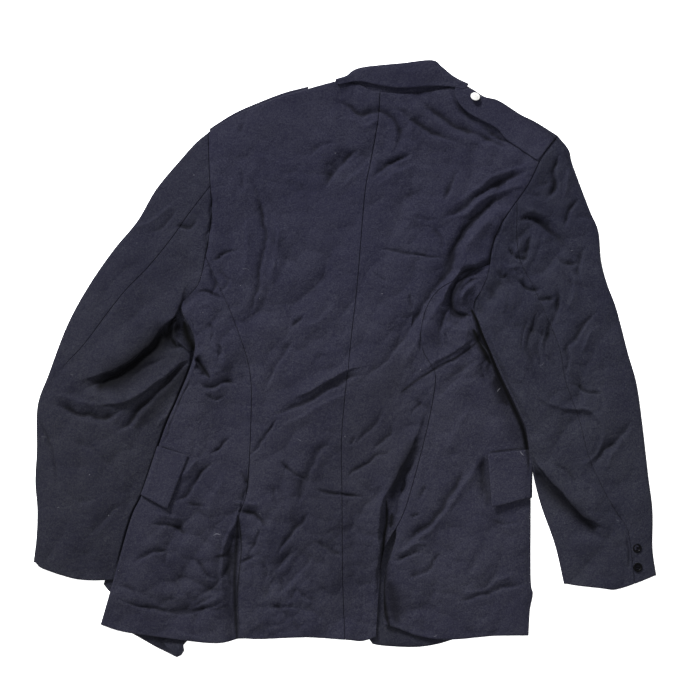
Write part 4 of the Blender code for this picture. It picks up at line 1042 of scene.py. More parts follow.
wool = {
    "colour": (0.0053, 0.0053, 0.0114, 1),
    "worn": (0.0148, 0.0154, 0.0220, 1),
    "lint": (0.15, 0.15, 0.17, 1),
    "roughness": 0.82,
    "specular": 0.04,
    "sheen": {"Weight": 0.018, "Roughness": 0.45, "Tint": (0.75, 0.78, 1.0, 1)},
    # painted shade deep in folds and a painted highlight on ridges, both driven by the fold attribute
    "shade": 0.66,              # how dark the cloth is deep in a fold
    "paintedRidgeLight": 0.3,                # how much lighter it is on a ridge
    "patches": {"Scale": 20.0, "Detail": 3.0, "Roughness": 0.6},
    "mottle": {"Scale": 480.0, "Detail": 3.0, "Roughness": 0.7},
    "yarn": {"Scale": 900.0, "Detail": 2.0, "Roughness": 0.6},
    "twill": {"Scale": 420.0, "Distortion": 1.2, "Detail": 1.0},
    "weft": {"Scale": 260.0, "Distortion": 0.8, "Detail": 1.0},
    "wearing": {"mottle": 2.6, "yarn": 3.4, "patches": 0.9},
    "hem": {"from": 0.16, "times": 4.0, "tint": (1.1, 1.1, 0.98, 1)},
    "speck": {"cells": 78.0, "size": 0.036, "least": 0.93, "share": 0.75},
    "fibre": {"cells": 1.6, "size": 0.075, "least": 0.94, "share": 0.24, "stretch": (14.0, 120.0, 1.0)},
    "swirl": {"Scale": 60.0, "Detail": 1.0},
    "creases": {"Scale": 34.0, "Detail": 3.0, "Roughness": 0.45, "Distortion": 0.4},
    "small": {"Scale": 120.0, "Detail": 3.0, "Distortion": 0.6},
    "where": {"Scale": 14.0, "Detail": 1.0},
    "weave": {"twill": 0.35, "weft": 0.2, "mottle": 0.9, "yarn": 0.5},
    "relief": {"weave": 0.00012, "small": 0.0011, "creases": 0.0016},       # in metres
}


def buildLint(tree, place):
    # specks and fibres: a few cells of a wide pattern hold one each
    speck, fibre = wool["speck"], wool["fibre"]
    cells = addNode(tree, "ShaderNodeTexVoronoi", {"feature": "F1"}, Vector=place, Scale=speck["cells"],
                    Randomness=1.0)
    chosen = addNode(tree, "ShaderNodeSeparateColor", i0=cells.outputs["Color"])
    specks = times(tree, mathNode(tree, "LESS_THAN", cells.outputs["Distance"], speck["size"]),
                   mathNode(tree, "GREATER_THAN", chosen.outputs[0], speck["least"]))
    bent = addNode(tree, "ShaderNodeTexNoise", Vector=place, **wool["swirl"]).outputs["Color"]
    swirl = addNode(tree, "ShaderNodeVectorMath", {"operation": "SCALE"}, i0=bent, Scale=0.02).outputs[0]
    wander = addNode(tree, "ShaderNodeVectorMath", {"operation": "ADD"}, i0=place, i1=swirl).outputs[0]
    stretched = addNode(tree, "ShaderNodeMapping", Vector=wander, Rotation=(0, 0, 0.7),
                        Scale=fibre["stretch"]).outputs[0]
    cells = addNode(tree, "ShaderNodeTexVoronoi", {"feature": "F1"}, Vector=stretched, Scale=fibre["cells"],
                    Randomness=1.0)
    chosen = addNode(tree, "ShaderNodeSeparateColor", i0=cells.outputs["Color"])
    fibres = times(tree, mathNode(tree, "LESS_THAN", cells.outputs["Distance"], fibre["size"]),
                   mathNode(tree, "GREATER_THAN", chosen.outputs[1], fibre["least"]))
    lint = mathNode(tree, "MAXIMUM", times(tree, specks, speck["share"]), times(tree, fibres, fibre["share"]))
    return lint, wander


def buildClothGroup():
    # wool with its mottled yarn, fine twill, bloom and specks of lint, with painted shade in its folds and a
    # painted highlight on its ridges
    tree, inp, out = newGroup(
        "woolSurface",
        (("Vector", "NodeSocketVector", None), ("Thread", "NodeSocketVector", None),
         ("Colour", "NodeSocketColor", wool["colour"]), ("WornAndRidgeLight", "NodeSocketColor", wool["worn"]),
         ("Lint", "NodeSocketColor", wool["lint"]), ("Fold", "NodeSocketFloat", 0.0)),
        (("Colour", "NodeSocketColor"), ("Height", "NodeSocketFloat"), ("Roughness", "NodeSocketFloat")))
    place, thread, fold = (inp.outputs[key] for key in ("Vector", "Thread", "Fold"))
    patches = noise(tree, place, **wool["patches"])
    mottle = noise(tree, place, **wool["mottle"])
    yarn = noise(tree, place, **wool["yarn"])
    twill = addNode(tree, "ShaderNodeTexWave", {"wave_type": "BANDS", "bands_direction": "DIAGONAL"},
                    Vector=thread, **wool["twill"]).outputs["Fac"]
    weft = addNode(tree, "ShaderNodeTexWave", {"wave_type": "BANDS", "bands_direction": "X"},
                   Vector=thread, **wool["weft"]).outputs["Fac"]
    share = above(tree, mottle, 0.38, wool["wearing"]["mottle"], True)
    share = plus(tree, share, above(tree, yarn, 0.5, wool["wearing"]["yarn"]))
    share = plus(tree, share, above(tree, patches, 0.5, wool["wearing"]["patches"]), True)
    colour = mixColour(tree, share, inp.outputs["Colour"], inp.outputs["WornAndRidgeLight"])
    # the cloth is lighter and greyer towards the hem
    upward = addNode(tree, "ShaderNodeSeparateXYZ", i0=place).outputs[1]
    low = above(tree, wool["hem"]["from"], upward, wool["hem"]["times"], True)
    colour = mixColour(tree, low, colour, wool["hem"]["tint"], "MULTIPLY")
    # painted shade: cloth deep in a fold is painted darker; painted highlight: a ridge is painted lighter,
    # towards the worn colour
    ridge = times(tree, times(tree, fold, -1.0), wool["paintedRidgeLight"], True)
    colour = mixColour(tree, ridge, colour, inp.outputs["WornAndRidgeLight"])
    deep = times(tree, fold, wool["shade"], True)
    colour = mixColour(tree, deep, colour, (0.0, 0.0, 0.0, 1))
    lint, wander = buildLint(tree, place)
    tree.links.new(mixColour(tree, lint, colour, inp.outputs["Lint"]), out.inputs["Colour"])
    weave = wool["weave"]
    height = plus(tree, times(tree, twill, weave["twill"]), times(tree, weft, weave["weft"]))
    height = plus(tree, height, times(tree, mottle, weave["mottle"]))
    height = plus(tree, height, times(tree, yarn, weave["yarn"]))
    # fine creases of a few millimetres, in patches
    ridges = addNode(tree, "ShaderNodeTexNoise", {"noise_type": "RIDGED_MULTIFRACTAL"}, Vector=wander,
                     **wool["creases"]).outputs[0]
    small = noise(tree, wander, **wool["small"])
    patch = above(tree, noise(tree, place, **wool["where"]), 0.3, 2.2, True)
    height = times(tree, height, wool["relief"]["weave"])
    height = plus(tree, height, times(tree, small, wool["relief"]["small"]))
    height = plus(tree, height, times(tree, times(tree, ridges, patch), wool["relief"]["creases"]))
    tree.links.new(height, out.inputs["Height"])
    rough = plus(tree, times(tree, mottle, 0.18), wool["roughness"] - 0.09)
    tree.links.new(rough, out.inputs["Roughness"])
    return tree


clothGroup = buildClothGroup()


def woolMaterial(name, tint=(1.0, 1.0, 1.0)):
    material = bpy.data.materials.new(name)
    material.use_nodes = True
    tree = material.node_tree
    shader = tree.nodes["Principled BSDF"]
    for key, value in wool["sheen"].items():
        shader.inputs["Sheen " + key].default_value = value
    shader.inputs["Specular IOR Level"].default_value = wool["specular"]
    place = tree.nodes.new("ShaderNodeTexCoord")
    surface = tree.nodes.new("ShaderNodeGroup")
    surface.node_tree = clothGroup
    tree.links.new(place.outputs["Object"], surface.inputs["Vector"])
    tree.links.new(place.outputs["UV"], surface.inputs["Thread"])
    # the fold attribute brings in the painted shade of folds and hollows and the painted highlight of ridges
    fold = addNode(tree, "ShaderNodeAttribute", {"attribute_name": "fold"})
    tree.links.new(fold.outputs["Fac"], surface.inputs["Fold"])
    for socket, key in (("Colour", "colour"), ("WornAndRidgeLight", "worn")):
        surface.inputs[socket].default_value = tuple(c * t for c, t in zip(wool[key], tint)) + (1,)
    surface.inputs["Lint"].default_value = wool["lint"]
    tree.links.new(surface.outputs["Colour"], shader.inputs["Base Color"])
    tree.links.new(surface.outputs["Roughness"], shader.inputs["Roughness"])
    bump = addNode(tree, "ShaderNodeBump", Height=surface.outputs["Height"], Strength=1.0, Distance=1.0)
    tree.links.new(bump.outputs[0], shader.inputs["Normal"])
    return material


navy = woolMaterial("navyWool", (1.02, 1.0, 1.06))
sleeveNavy = {
    "left": woolMaterial("navyWoolLeftSleeve", (0.95, 0.95, 0.93)),
    "right": woolMaterial("navyWoolRightSleeve", (0.9, 0.91, 0.92)),
}
# a darker copy of the wool: painted shade for the pieces that lie underneath
shaded = woolMaterial("navyWoolUnderneath", (0.9, 0.9, 0.9))
print("materials ready")


def joinLines(*parts):
    return np.vstack([parts[0]] + [part[1:] for part in parts[1:]])


backs = {
    "back_left": {"flat": (0.24, 0.77), "area": 0.121},
    "back_right": {"flat": (0.22, 0.77), "area": 0.096},
}


def backField(p):
    # the left vent's edge rides over the side panel
    up, push = bodyTop(p)
    inside = p[:, 0] - across(line["leftSideSeam"], p[:, 1])
    up = up + jacket["ventStep"] * ease((95 - inside) / 55) * belowLine(p, jacket["ventTop"] + 40, 24)
    return up, push


def buildBacks():
    hem = line["backHem"]
    middle = int(np.argmin(np.hypot(hem[:, 0], hem[:, 1] + 384)))
    leftHem, rightHem = hem[:middle + 1], hem[middle:]
    neck = line["neckSeam"]
    cut = int(np.argmin(np.hypot(neck[:, 0] - 48, neck[:, 1] - 360)))
    left = joinLines(line["leftSideSeam"], armUpper["left"][::-1])
    top = joinLines(line["leftShoulder"], neck[:cut + 1])
    plan = planGrid(left, line["centreSeam"], leftHem, top, jacket["cell"])
    outer = groove(atGrid(backField, drawIn(plan, "lrt")), "lrt")
    clothPiece("back_left_cloth", "back_left", outer, navy, restsOn=["front_left"], **backs["back_left"])
    right = joinLines(line["rightSideSeam"], armUpper["right"][::-1])
    top = joinLines(neck[cut:], line["rightShoulder"])
    plan = planGrid(line["centreSeam"], right, rightHem, top, jacket["cell"])
    outer = groove(atGrid(bodyTop, drawIn(plan, "lrt")), "lrt")
    clothPiece("back_right_cloth", "back_right", outer, navy, restsOn=["front_right"], **backs["back_right"])


def pickRows(plan, rows):
    # the same plan with another count of rows
    at = np.linspace(0, plan.shape[0] - 1, rows)
    low = np.minimum(at.astype(int), plan.shape[0] - 2)
    part = (at - low)[:, None, None]
    return plan[low] * (1 - part) + plan[low + 1] * part


sides = {
    "side_left": {"flat": (0.25, 0.53), "area": 0.085},
    "side_right": {"flat": (0.25, 0.52), "area": 0.090},
}
joinStep = 30        # of 50 steps down the lower armhole, where a front's side seam meets it


def lowerRun(side, edge, rows):
    arm = armLower[side]
    upper, tip = spreadLine(arm, 50)[:joinStep + 1], spreadLine(arm, 50)[joinStep:]
    seam = smoothLine(tuple(map(tuple, lines[side + "FrontSeam"])) + (tuple(upper[-1]),))
    hem = np.vstack([edge[0], seam[0]])
    plan = planGrid(edge, seam, spreadLine(hem, 20), tip[::-1], jacket["hiddenCell"])
    return pickRows(plan, rows)


def buildSides():
    for side in ("left", "right"):
        seam = line[side + "SideSeam"].copy()
        if side == "left":
            seam[:, 0] += jacket["underlap"] * belowLine(seam, jacket["ventTop"] - 14, 20)
            hem = line["leftSideHem"].copy()
            hem[-1] = seam[0]
            hem = hem[::-1]
        else:
            joint = line["rightSideSeam"][line["rightSideSeam"][:, 1] > -235]
            seam = np.vstack([smoothLine(lines["rightVentFront"] + (tuple(joint[0]),)), joint[1:]])
            hem = line["rightSideHem"]
        edge = line[side + "Edge"]
        plan = planGrid(seam, edge, hem, armLower[side], jacket["cell"])
        lower = lowerRun(side, edge, plan.shape[0])
        lower[:, 0] = plan[:, -1]
        outer, upper = wrapped(drawIn(plan, "lt"), drawIn(lower, "rt"), bodyTop, bodyFloor, sewn="end")
        outer, upper = groove(outer, "l"), upper + 1
        name = "side_" + side
        clothPiece(name + "_cloth", name, outer, navy, restsOn=["front_" + side], upper=upper, **sides[name])


fronts = {
    "front_left": {"flat": (0.32, 0.79), "area": 0.158},
    "front_right": {"flat": (0.32, 0.78), "area": 0.133},
}


def buildFronts():
    for side, sign, neck in (("left", 1, (-10, 376)), ("right", -1, (160, 372))):
        centre = line["centreSeam"]
        low = centre[centre[:, 1] < jacket["break"] - 20] + (sign * jacket["overlap"], 0)
        turn = (float(across(centre, jacket["break"])) + sign * jacket["overlap"], jacket["break"])
        closing = np.vstack([low, turn, neck])
        upperArm = spreadLine(armLower[side], 50)[:joinStep + 1]
        seam = smoothLine(lines[side + "FrontSeam"] + (tuple(upperArm[-1]),))
        armSide = joinLines(seam, upperArm[::-1], armUpper[side][::-1])
        hem, top = line[side + "FrontHem"], line[side + "Shoulder"]

        def field(p, side=side):
            up = bodyFloor(p) + jacket["frontWall"]
            if side == "right":
                return up + jacket["lapStep"] * lapped(p), np.zeros((len(p), 2))
            lift, push = press(p, frontCreases)
            return up + lift, push

        if side == "left":
            plan = drawIn(planGrid(armSide, closing, hem, top, jacket["hiddenCell"]), "l")
        else:
            plan = drawIn(planGrid(closing, armSide, hem, top, jacket["hiddenCell"]), "r")
        name = "front_" + side
        clothPiece(name + "_cloth", name, atGrid(field, plan), shaded, wall=jacket["frontWall"] - 0.2,
                   restsOn=["floor"], **fronts[name])


buildBacks()
buildSides()
buildFronts()
print("body ready")


# the top sleeve turns over the sleeve's outer edge and the under sleeve over its inner one
sleeves = {
    "sleeve_top_left": {"flat": (0.24, 0.64), "area": 0.090},
    "sleeve_under_left": {"flat": (0.24, 0.56), "area": 0.082},
    "sleeve_top_right": {"flat": (0.30, 0.66), "area": 0.119},
    "sleeve_under_right": {"flat": (0.17, 0.55), "area": 0.054},
}
sleeveStart = {"left": 0.3, "right": 0.4}      # where along the armhole the hind seam starts
cuffSlip = 17.0      # how far the left cuff's under layer hangs out of it, at its corner
foreShare = 0.8      # of the sleeve's width that the top sleeve turns under
leastTurn = 7.8      # it shows at least this wide


def rowPoints(plan, first, last, cols):
    # points along each row between two places given in columns
    out = np.zeros((plan.shape[0], cols + 1, 2))
    at = np.arange(plan.shape[1])
    for j, row in enumerate(plan):
        where = np.linspace(first[j], last[j], cols + 1)
        out[j] = np.column_stack([np.interp(where, at, row[:, k]) for k in (0, 1)])
    return out


def buildSleeves():
    for side in ("left", "right"):
        arm = line[side + "Armhole"]
        plan = planGrid(line[side + "SleeveOuter"], line[side + "SleeveInner"], arm, line[side + "Cuff"],
                        jacket["cell"])
        cols = plan.shape[1] - 1
        start = sleeveStart[side] * cols
        entry = [np.interp(start, np.arange(cols + 1), plan[0, :, k]) for k in (0, 1)]
        seam = smoothLine((tuple(entry),) + lines[side + "HindSeam"])
        gap, hand, _, _ = nearestOn(plan.reshape(-1, 2), seam)
        signed = (gap * hand).reshape(plan.shape[:2])
        where = np.zeros(len(plan))
        for j, row in enumerate(signed):
            changed = np.nonzero(np.sign(row[:-1]) != np.sign(row[1:]))[0]
            if j == 0:
                where[j] = start
            elif len(changed):
                k = changed[np.argmin(abs(changed - where[j - 1]))]
                where[j] = k + row[k] / (row[k] - row[k + 1])
            else:
                where[j] = 0.0 if side == "left" else where[j - 1]
            where[j] = max(where[j], leastTurn / np.hypot(*(plan[j, 1] - plan[j, 0])))
        where[1:-1] = (where[:-2] + 2 * where[1:-1] + where[2:]) / 4
        fore = np.full(len(plan), foreShare * cols)
        ends, zeros = np.full(len(plan), float(cols)), np.zeros(len(plan))

        def top(p, side=side):
            return sleeveTop(p, side)

        def floor(p, side=side):
            return sleeveFloor(p, side)

        wide = int(max(where) + 1)
        upper = drawIn(rowPoints(plan, where, zeros, wide), "lb")
        hidden = int(foreShare * cols * jacket["cell"] / jacket["hiddenCell"])
        lower = drawIn(rowPoints(plan, zeros, fore, hidden), "rb")
        outer, count = wrapped(upper, lower, top, floor, sewn="start")
        outer, count = groove(groove(outer, "l", 0.7), "b"), count + 1
        name = "sleeve_top_" + side
        clothPiece(name + "_cloth", name, outer, sleeveNavy[side], restsOn=["floor"], upper=count,
                   **sleeves[name])
        wide = int(cols - min(where)) + 1
        upper = drawIn(rowPoints(plan, where, ends, wide), "lb")
        lower = rowPoints(plan, ends, fore, 8)
        if side == "left":
            # the under layer of the cuff shows past the hem beside the body
            late = ease((np.arange(len(lower)) - len(lower) + 24) / 23)[:, None]
            lower[..., 1] -= cuffSlip * late * np.exp(-((lower[..., 0] + 318) / 11) ** 2)
        lower = drawIn(lower, "rb")
        outer, count = wrapped(upper, lower, top, floor, sewn="start")
        outer, count = groove(groove(outer, "l", 0.7), "b"), count + 1
        name = "sleeve_under_" + side
        clothPiece(name + "_cloth", name, outer, sleeveNavy[side], restsOn=["floor"], upper=count,
                   **sleeves[name])


buildSleeves()
print("sleeves ready")


def between(first, second, rows, cols):
    a, b = spreadLine(first, rows), spreadLine(second, rows)
    t = np.linspace(0, 1, cols + 1)[None, :, None]
    return a[:, None] * (1 - t) + b[:, None] * t


collar = {
    "rows": 84, "fallCols": 14, "standCols": 16,
    "over": 3.4,            # above the cloth below it
    "roll": 1.6,            # and further up where it rolls over
    "under": 1.2,           # the stand lies this far below the back
    "sewn": 3.0,            # and further down at its seam
    "flat": (0.20, 0.070), "area": 0.0103,
}


def buildCollar():
    fall = between(line["collarEdge"], line["collarFold"], collar["rows"], collar["fallCols"])
    neck = line["neckSeam"].copy()
    neck[:, 1] -= 3.0 * ease((neck[:, 0] + 10) / 20) * ease((160 - neck[:, 0]) / 20)
    stand = between(line["collarFold"], neck, collar["rows"], collar["standCols"])
    fall[:, -1] = stand[:, 0]

    def height(p):
        up, _ = bodyTop(p, creased=False)
        roll = aboveLine(p, 372, 20)
        return up + collar["over"] + collar["roll"] * roll + 0.35 * wrinkles(p), np.zeros((len(p), 2))

    def floor(p):
        # the stand's lower edge lies under the neck edge of the back
        inside = ease((nearestOn(p, line["neckSeam"])[0] * np.sign(p[:, 1] - 330)) / 14)
        return bodyTop(p)[0] - collar["under"] - collar["sewn"] * (1 - inside)

    outer, count = wrapped(fall, stand, height, floor)
    clothPiece("collar_cloth", "collar", outer, navy, collar["flat"], collar["area"],
               ["back_left", "back_right"], upper=count)


lapels = {
    "lapel_left": {"a": ((14, -54), (-34, 60), (-74, 190), (-90, 262)), "b": ((20, -52), (-6, 300)),
                   "flat": (0.12, 0.36), "area": 0.0190},
    "lapel_right": {"a": ((26, 50), (126, 296)), "b": ((34, 50), (96, 120), (166, 200), (212, 262)),
                    "flat": (0.12, 0.27), "area": 0.0143},
    "collar_leaf_left": {"a": ((-54, 296), (-44, 330), (-36, 362)), "b": ((-6, 306), (-9, 340), (-11, 369)),
                         "flat": (0.05, 0.075), "area": 0.0024},
    "collar_leaf_right": {"a": ((130, 301), (146, 340), (156, 365)),
                          "b": ((184, 282), (192, 310), (182, 350)), "flat": (0.06, 0.08), "area": 0.0034},
}


lowest = 1.5        # height of the cloth that lies straight on the floor
lapelCell = 5


def buildLapels():
    for name, shape in lapels.items():
        a, b = smoothLine(shape["a"]), smoothLine(shape["b"])
        cols = max(8, int(np.hypot(*(a[-1] - b[-1])) / lapelCell))
        plan = between(a, b, int(lengthOf(a) / lapelCell), cols)
        outer = np.dstack([plan, np.full(plan.shape[:2], lowest)])
        clothPiece(name + "_cloth", name, outer, shaded, shape["flat"], shape["area"], ["floor"])


strap = {
    "lower": ((150, 366), (151, 353), (161, 338), (176, 327), (206, 311), (218, 297), (236, 284), (261, 267)),
    "upper": ((164, 368), (176, 361), (190, 353), (209, 348), (239, 329), (261, 318), (286, 299)),
    "rows": 56, "cols": 16, "over": 1.2, "flat": (0.050, 0.150), "area": 0.0052,
}
hiddenStrap = {
    "lower": ((-182, 264), (-150, 284), (-110, 304), (-60, 322)),
    "upper": ((-184, 311), (-154, 330), (-126, 343), (-87, 358), (-50, 368)),
    "rows": 40, "cols": 12, "rise": (-66, 346, 44, 42, 4.0), "flat": (0.054, 0.140), "area": 0.0062,
}


def buildStraps():
    plan = between(smoothLine(strap["lower"]), smoothLine(strap["upper"]), strap["rows"], strap["cols"])

    def over(p):
        # it spans the creases below it
        level = bodyTop(p, creased=False)[0]
        return softMax(bodyTop(p)[0], level) + strap["over"] + jacket["wall"], np.zeros((len(p), 2))

    outer = atGrid(over, plan)
    clothPiece("epaulette_right_cloth", "epaulette_right", outer, navy, strap["flat"], strap["area"],
               ["back_right"])
    plan = between(smoothLine(hiddenStrap["lower"]), smoothLine(hiddenStrap["upper"]), hiddenStrap["rows"],
                   hiddenStrap["cols"])
    outer = atGrid(plain(lambda p: rise(p, (hiddenStrap["rise"],)) + lowest), plan)
    clothPiece("epaulette_left_cloth", "epaulette_left", outer, navy, hiddenStrap["flat"],
               hiddenStrap["area"], ["floor"])


flaps = {
    "pocket_flap_left": {"edge": "leftEdge", "free": ((-213, -134), (-241, -205)), "rim": (-122, -187),
                         "hidden": ((-152, -140), (-174, -205)), "flat": (0.15, 0.085), "area": 0.0110},
    "pocket_flap_right": {"edge": "rightEdge", "free": ((194, -132), (200, -203)), "rim": (-126, -191),
                          "hidden": ((156, -134), (160, -203)), "flat": (0.165, 0.075), "area": 0.0108},
}


flapCloth = {
    "rows": 32, "upperCols": 20, "lowerCols": 16,
    "over": 0.8,            # above the level of the body
    "stand": 4.6,           # further up at its lower edge, and over what depth
    "depth": 66,
    "apart": 0.5,           # gap to the cloth that it wraps
}


def buildFlaps():
    rows = flapCloth["rows"]
    for name, shape in flaps.items():
        heights = np.linspace(*shape["rim"], rows + 1)
        edge = np.column_stack([across(line[shape["edge"]], heights), heights])
        free, hidden = (spreadLine(np.array(shape[key], float), rows) for key in ("free", "hidden"))
        upper = between(free, edge, rows, flapCloth["upperCols"])
        lower = between(edge, hidden, rows, flapCloth["lowerCols"])

        def top(p, start=shape["free"][0][1]):
            # it spans the body's creases and stands off a little towards its lower edge
            up = bodyTop(p)[0]
            down = np.clip((start - p[:, 1]) / flapCloth["depth"], 0, 1)
            level = bodyTop(p, creased=False)[0] + flapCloth["over"] + flapCloth["stand"] * down
            return softMax(up, level) + 0.25 * wrinkles(p), np.zeros((len(p), 2))

        outer, count = wrapped(upper, lower, top, bodyFloor, off=flapCloth["apart"] + jacket["wall"])
        clothPiece(name + "_cloth", name, outer, navy, shape["flat"], shape["area"],
                   ["side_" + name[12:]], upper=count)


buildCollar()
buildLapels()
buildStraps()
buildFlaps()
print("collar, lapels, straps and flaps ready")


def buttonMaterial(name, colour, roughness, metallic):
    material = bpy.data.materials.new(name)
    material.use_nodes = True
    tree = material.node_tree
    shader = tree.nodes["Principled BSDF"]
    shader.inputs["Metallic"].default_value = metallic
    shader.inputs["Specular IOR Level"].default_value = 0.5 if metallic else 0.03
    place = tree.nodes.new("ShaderNodeTexCoord").outputs["Object"]
    wear = noise(tree, place, Scale=420.0, Detail=4.0, Roughness=0.65)
    fine = noise(tree, place, Scale=1800.0, Detail=2.0)
    dull = tuple(c * 0.72 for c in colour) + (1,)
    tree.links.new(mixColour(tree, wear, dull, colour + (1,)), shader.inputs["Base Color"])
    tree.links.new(plus(tree, times(tree, wear, 0.25), roughness - 0.1), shader.inputs["Roughness"])
    bump = addNode(tree, "ShaderNodeBump", Height=fine, Strength=0.25, Distance=0.0002)
    tree.links.new(bump.outputs[0], shader.inputs["Normal"])
    return material


silver = buttonMaterial("silverButton", (0.86, 0.86, 0.84), 0.3, 1.0)
black = buttonMaterial("blackButton", (0.0012, 0.0012, 0.0016), 0.3, 0.0)
thread = buttonMaterial("buttonThread", (0.004, 0.004, 0.007), 0.8, 0.0)


def pickFaces(piece, test):
    # selects in edit mode the faces whose middle and normal pass the test
    bpy.ops.object.mode_set(mode="OBJECT")
    for polygon in piece.data.polygons:
        polygon.select = bool(test(polygon.center, polygon.normal))
    for edge in piece.data.edges:
        edge.select = False
    bpy.ops.object.mode_set(mode="EDIT")
    bpy.ops.mesh.select_mode(type="FACE")


metalButton = {"radius": 8.2, "height": 3.7, "edge": 1.4, "rim": (1.2, -0.35),
               "dome": ((0.5, 0.5), (0.7, 0.75), (1.1, 0.65), (1.5, 0.5), (1.6, 0.3)), "sides": 64,
               "petals": 8, "rosette": (1.6, 5.6), "sunk": 0.22, "front": 1.34, "frontHeight": 0.86}
blackButton = {"radius": 7.6, "height": 2.4, "foot": 0.82, "dish": (1.9, -0.6), "hole": 0.9, "spacing": 1.7,
               "sides": 48, "thread": 0.42}


def newPiece(name):
    piece = bpy.context.object
    piece.name = name
    piece.data.name = name
    return piece


def clearPick():
    bpy.ops.object.select_all(action="DESELECT")


def applied(piece, kind, **settings):
    modifier = piece.modifiers.new(kind.lower(), kind)
    for key, value in settings.items():
        setattr(modifier, key, value)
    bpy.ops.object.modifier_apply(modifier=modifier.name)


def buildMetalButton():
    # turned rim, sunken ring and a dome with a plain rosette pressed into it
    d = metalButton
    clearPick()
    bpy.ops.mesh.primitive_cylinder_add(vertices=d["sides"], radius=d["radius"] * mm, depth=d["edge"] * mm,
                                        location=(0, 0, d["edge"] / 2 * mm))
    piece = newPiece("metalButtonMaster")
    bpy.ops.object.transform_apply(location=True, rotation=True, scale=True)
    pickFaces(piece, lambda c, n: n.z > 0.9)
    for inset, up in (d["rim"],) + d["dome"]:
        bpy.ops.mesh.inset(thickness=inset * mm)
        bpy.ops.transform.translate(value=(0, 0, up * mm))
    pickFaces(piece, lambda c, n: n.z < -0.9)
    bpy.ops.transform.resize(value=(0.78, 0.78, 1), center_override=(0, 0, 0))

    def petal(c, n):
        out = math.hypot(c.x, c.y) / mm
        turn = math.atan2(c.y, c.x) / math.tau * d["petals"] % 1.0
        return n.z > 0.3 and d["rosette"][0] < out < d["rosette"][1] and turn < 0.5

    pickFaces(piece, petal)
    bpy.ops.mesh.inset(thickness=0.16 * mm)
    bpy.ops.transform.translate(value=(0, 0, -d["sunk"] * mm))
    bpy.ops.object.mode_set(mode="OBJECT")
    applied(piece, "BEVEL", width=0.12 * mm, segments=2, limit_method="ANGLE", angle_limit=math.radians(28))
    bpy.ops.object.shade_smooth_by_angle(angle=math.radians(32))
    piece.data.materials.append(silver)
    return piece


def buildBlackButton():
    # a dished button with four sewing holes
    d = blackButton
    clearPick()
    bpy.ops.mesh.primitive_cylinder_add(vertices=d["sides"], radius=d["radius"] * mm, depth=d["height"] * mm,
                                        location=(0, 0, d["height"] / 2 * mm))
    piece = newPiece("blackButtonMaster")
    bpy.ops.object.transform_apply(location=True, rotation=True, scale=True)
    pickFaces(piece, lambda c, n: n.z < -0.9)
    bpy.ops.transform.resize(value=(d["foot"], d["foot"], 1), center_override=(0, 0, 0))
    pickFaces(piece, lambda c, n: n.z > 0.9)
    bpy.ops.mesh.inset(thickness=d["dish"][0] * mm)
    bpy.ops.mesh.inset(thickness=0.7 * mm)
    bpy.ops.transform.translate(value=(0, 0, d["dish"][1] * mm))
    bpy.ops.object.mode_set(mode="OBJECT")
    applied(piece, "BEVEL", width=0.4 * mm, segments=3, limit_method="ANGLE", angle_limit=math.radians(28))
    holes = []
    for x, y in ((1, 1), (-1, 1), (-1, -1), (1, -1)):
        bpy.ops.mesh.primitive_cylinder_add(vertices=16, radius=d["hole"] * mm, depth=12 * mm,
                                            location=(x * d["spacing"] * mm, y * d["spacing"] * mm, 0))
        holes.append(bpy.context.object)
    for hole in holes:
        clearPick()
        piece.select_set(True)
        bpy.context.view_layer.objects.active = piece
        applied(piece, "BOOLEAN", operation="DIFFERENCE", object=hole)
        bpy.data.objects.remove(hole, do_unlink=True)
    bpy.ops.object.shade_smooth_by_angle(angle=math.radians(32))
    piece.data.materials.append(black)
    return piece


def buildButtonThread():
    # two stitches from hole to hole
    d = blackButton
    clearPick()
    bpy.ops.mesh.primitive_cylinder_add(vertices=12, radius=d["thread"] * mm, depth=2.5 * d["spacing"] * mm,
                                        rotation=(0, math.pi / 2, 0))
    piece = newPiece("buttonThreadMaster")
    bpy.ops.object.transform_apply(location=True, rotation=True, scale=True)
    applied(piece, "BEVEL", width=0.3 * mm, segments=3, limit_method="ANGLE", angle_limit=math.radians(40))
    applied(piece, "ARRAY", count=2, use_relative_offset=False, use_constant_offset=True,
            constant_offset_displace=(0, 2 * d["spacing"] * mm, 0))
    piece.data.transform(Matrix.Translation((0, -d["spacing"] * mm, (d["height"] + d["dish"][1] + 0.3) * mm)))
    bpy.ops.object.shade_smooth_by_angle(angle=math.radians(40))
    piece.data.materials.append(thread)
    return piece


def placed(x, y, z, tilt=0.0, about=(1, 0, 0)):
    return Matrix.Translation(Vector((x, y, z)) * mm) @ Matrix.Rotation(math.radians(tilt), 4, about)


def placeCopy(master, name, node, matrix):
    mesh = master.data.copy()
    mesh.name = name
    mesh.transform(matrix)
    piece = bpy.data.objects.new(name, mesh)
    bpy.context.collection.objects.link(piece)
    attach(piece, "root")
    if node:
        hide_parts(node)
    return piece


# places in x, y and height, with a tilt in degrees and its axis; a button underneath is turned over
buttonPlaces = {
    "rightStrap": (176, 352, 12.6, 32, (-1, 0.45, 0)),
    "leftStrap": (-66, 346, 3.9, 180),
    "front": {"count": 4, "first": 2, "apart": 68, "height": 3.4},
    "cuff": {"right": ((397, -260), (398, -286)), "left": ((-402, -258), (-403, -284)),
             "raised": 0.76, "tilt": 7, "height": 2.4},
}


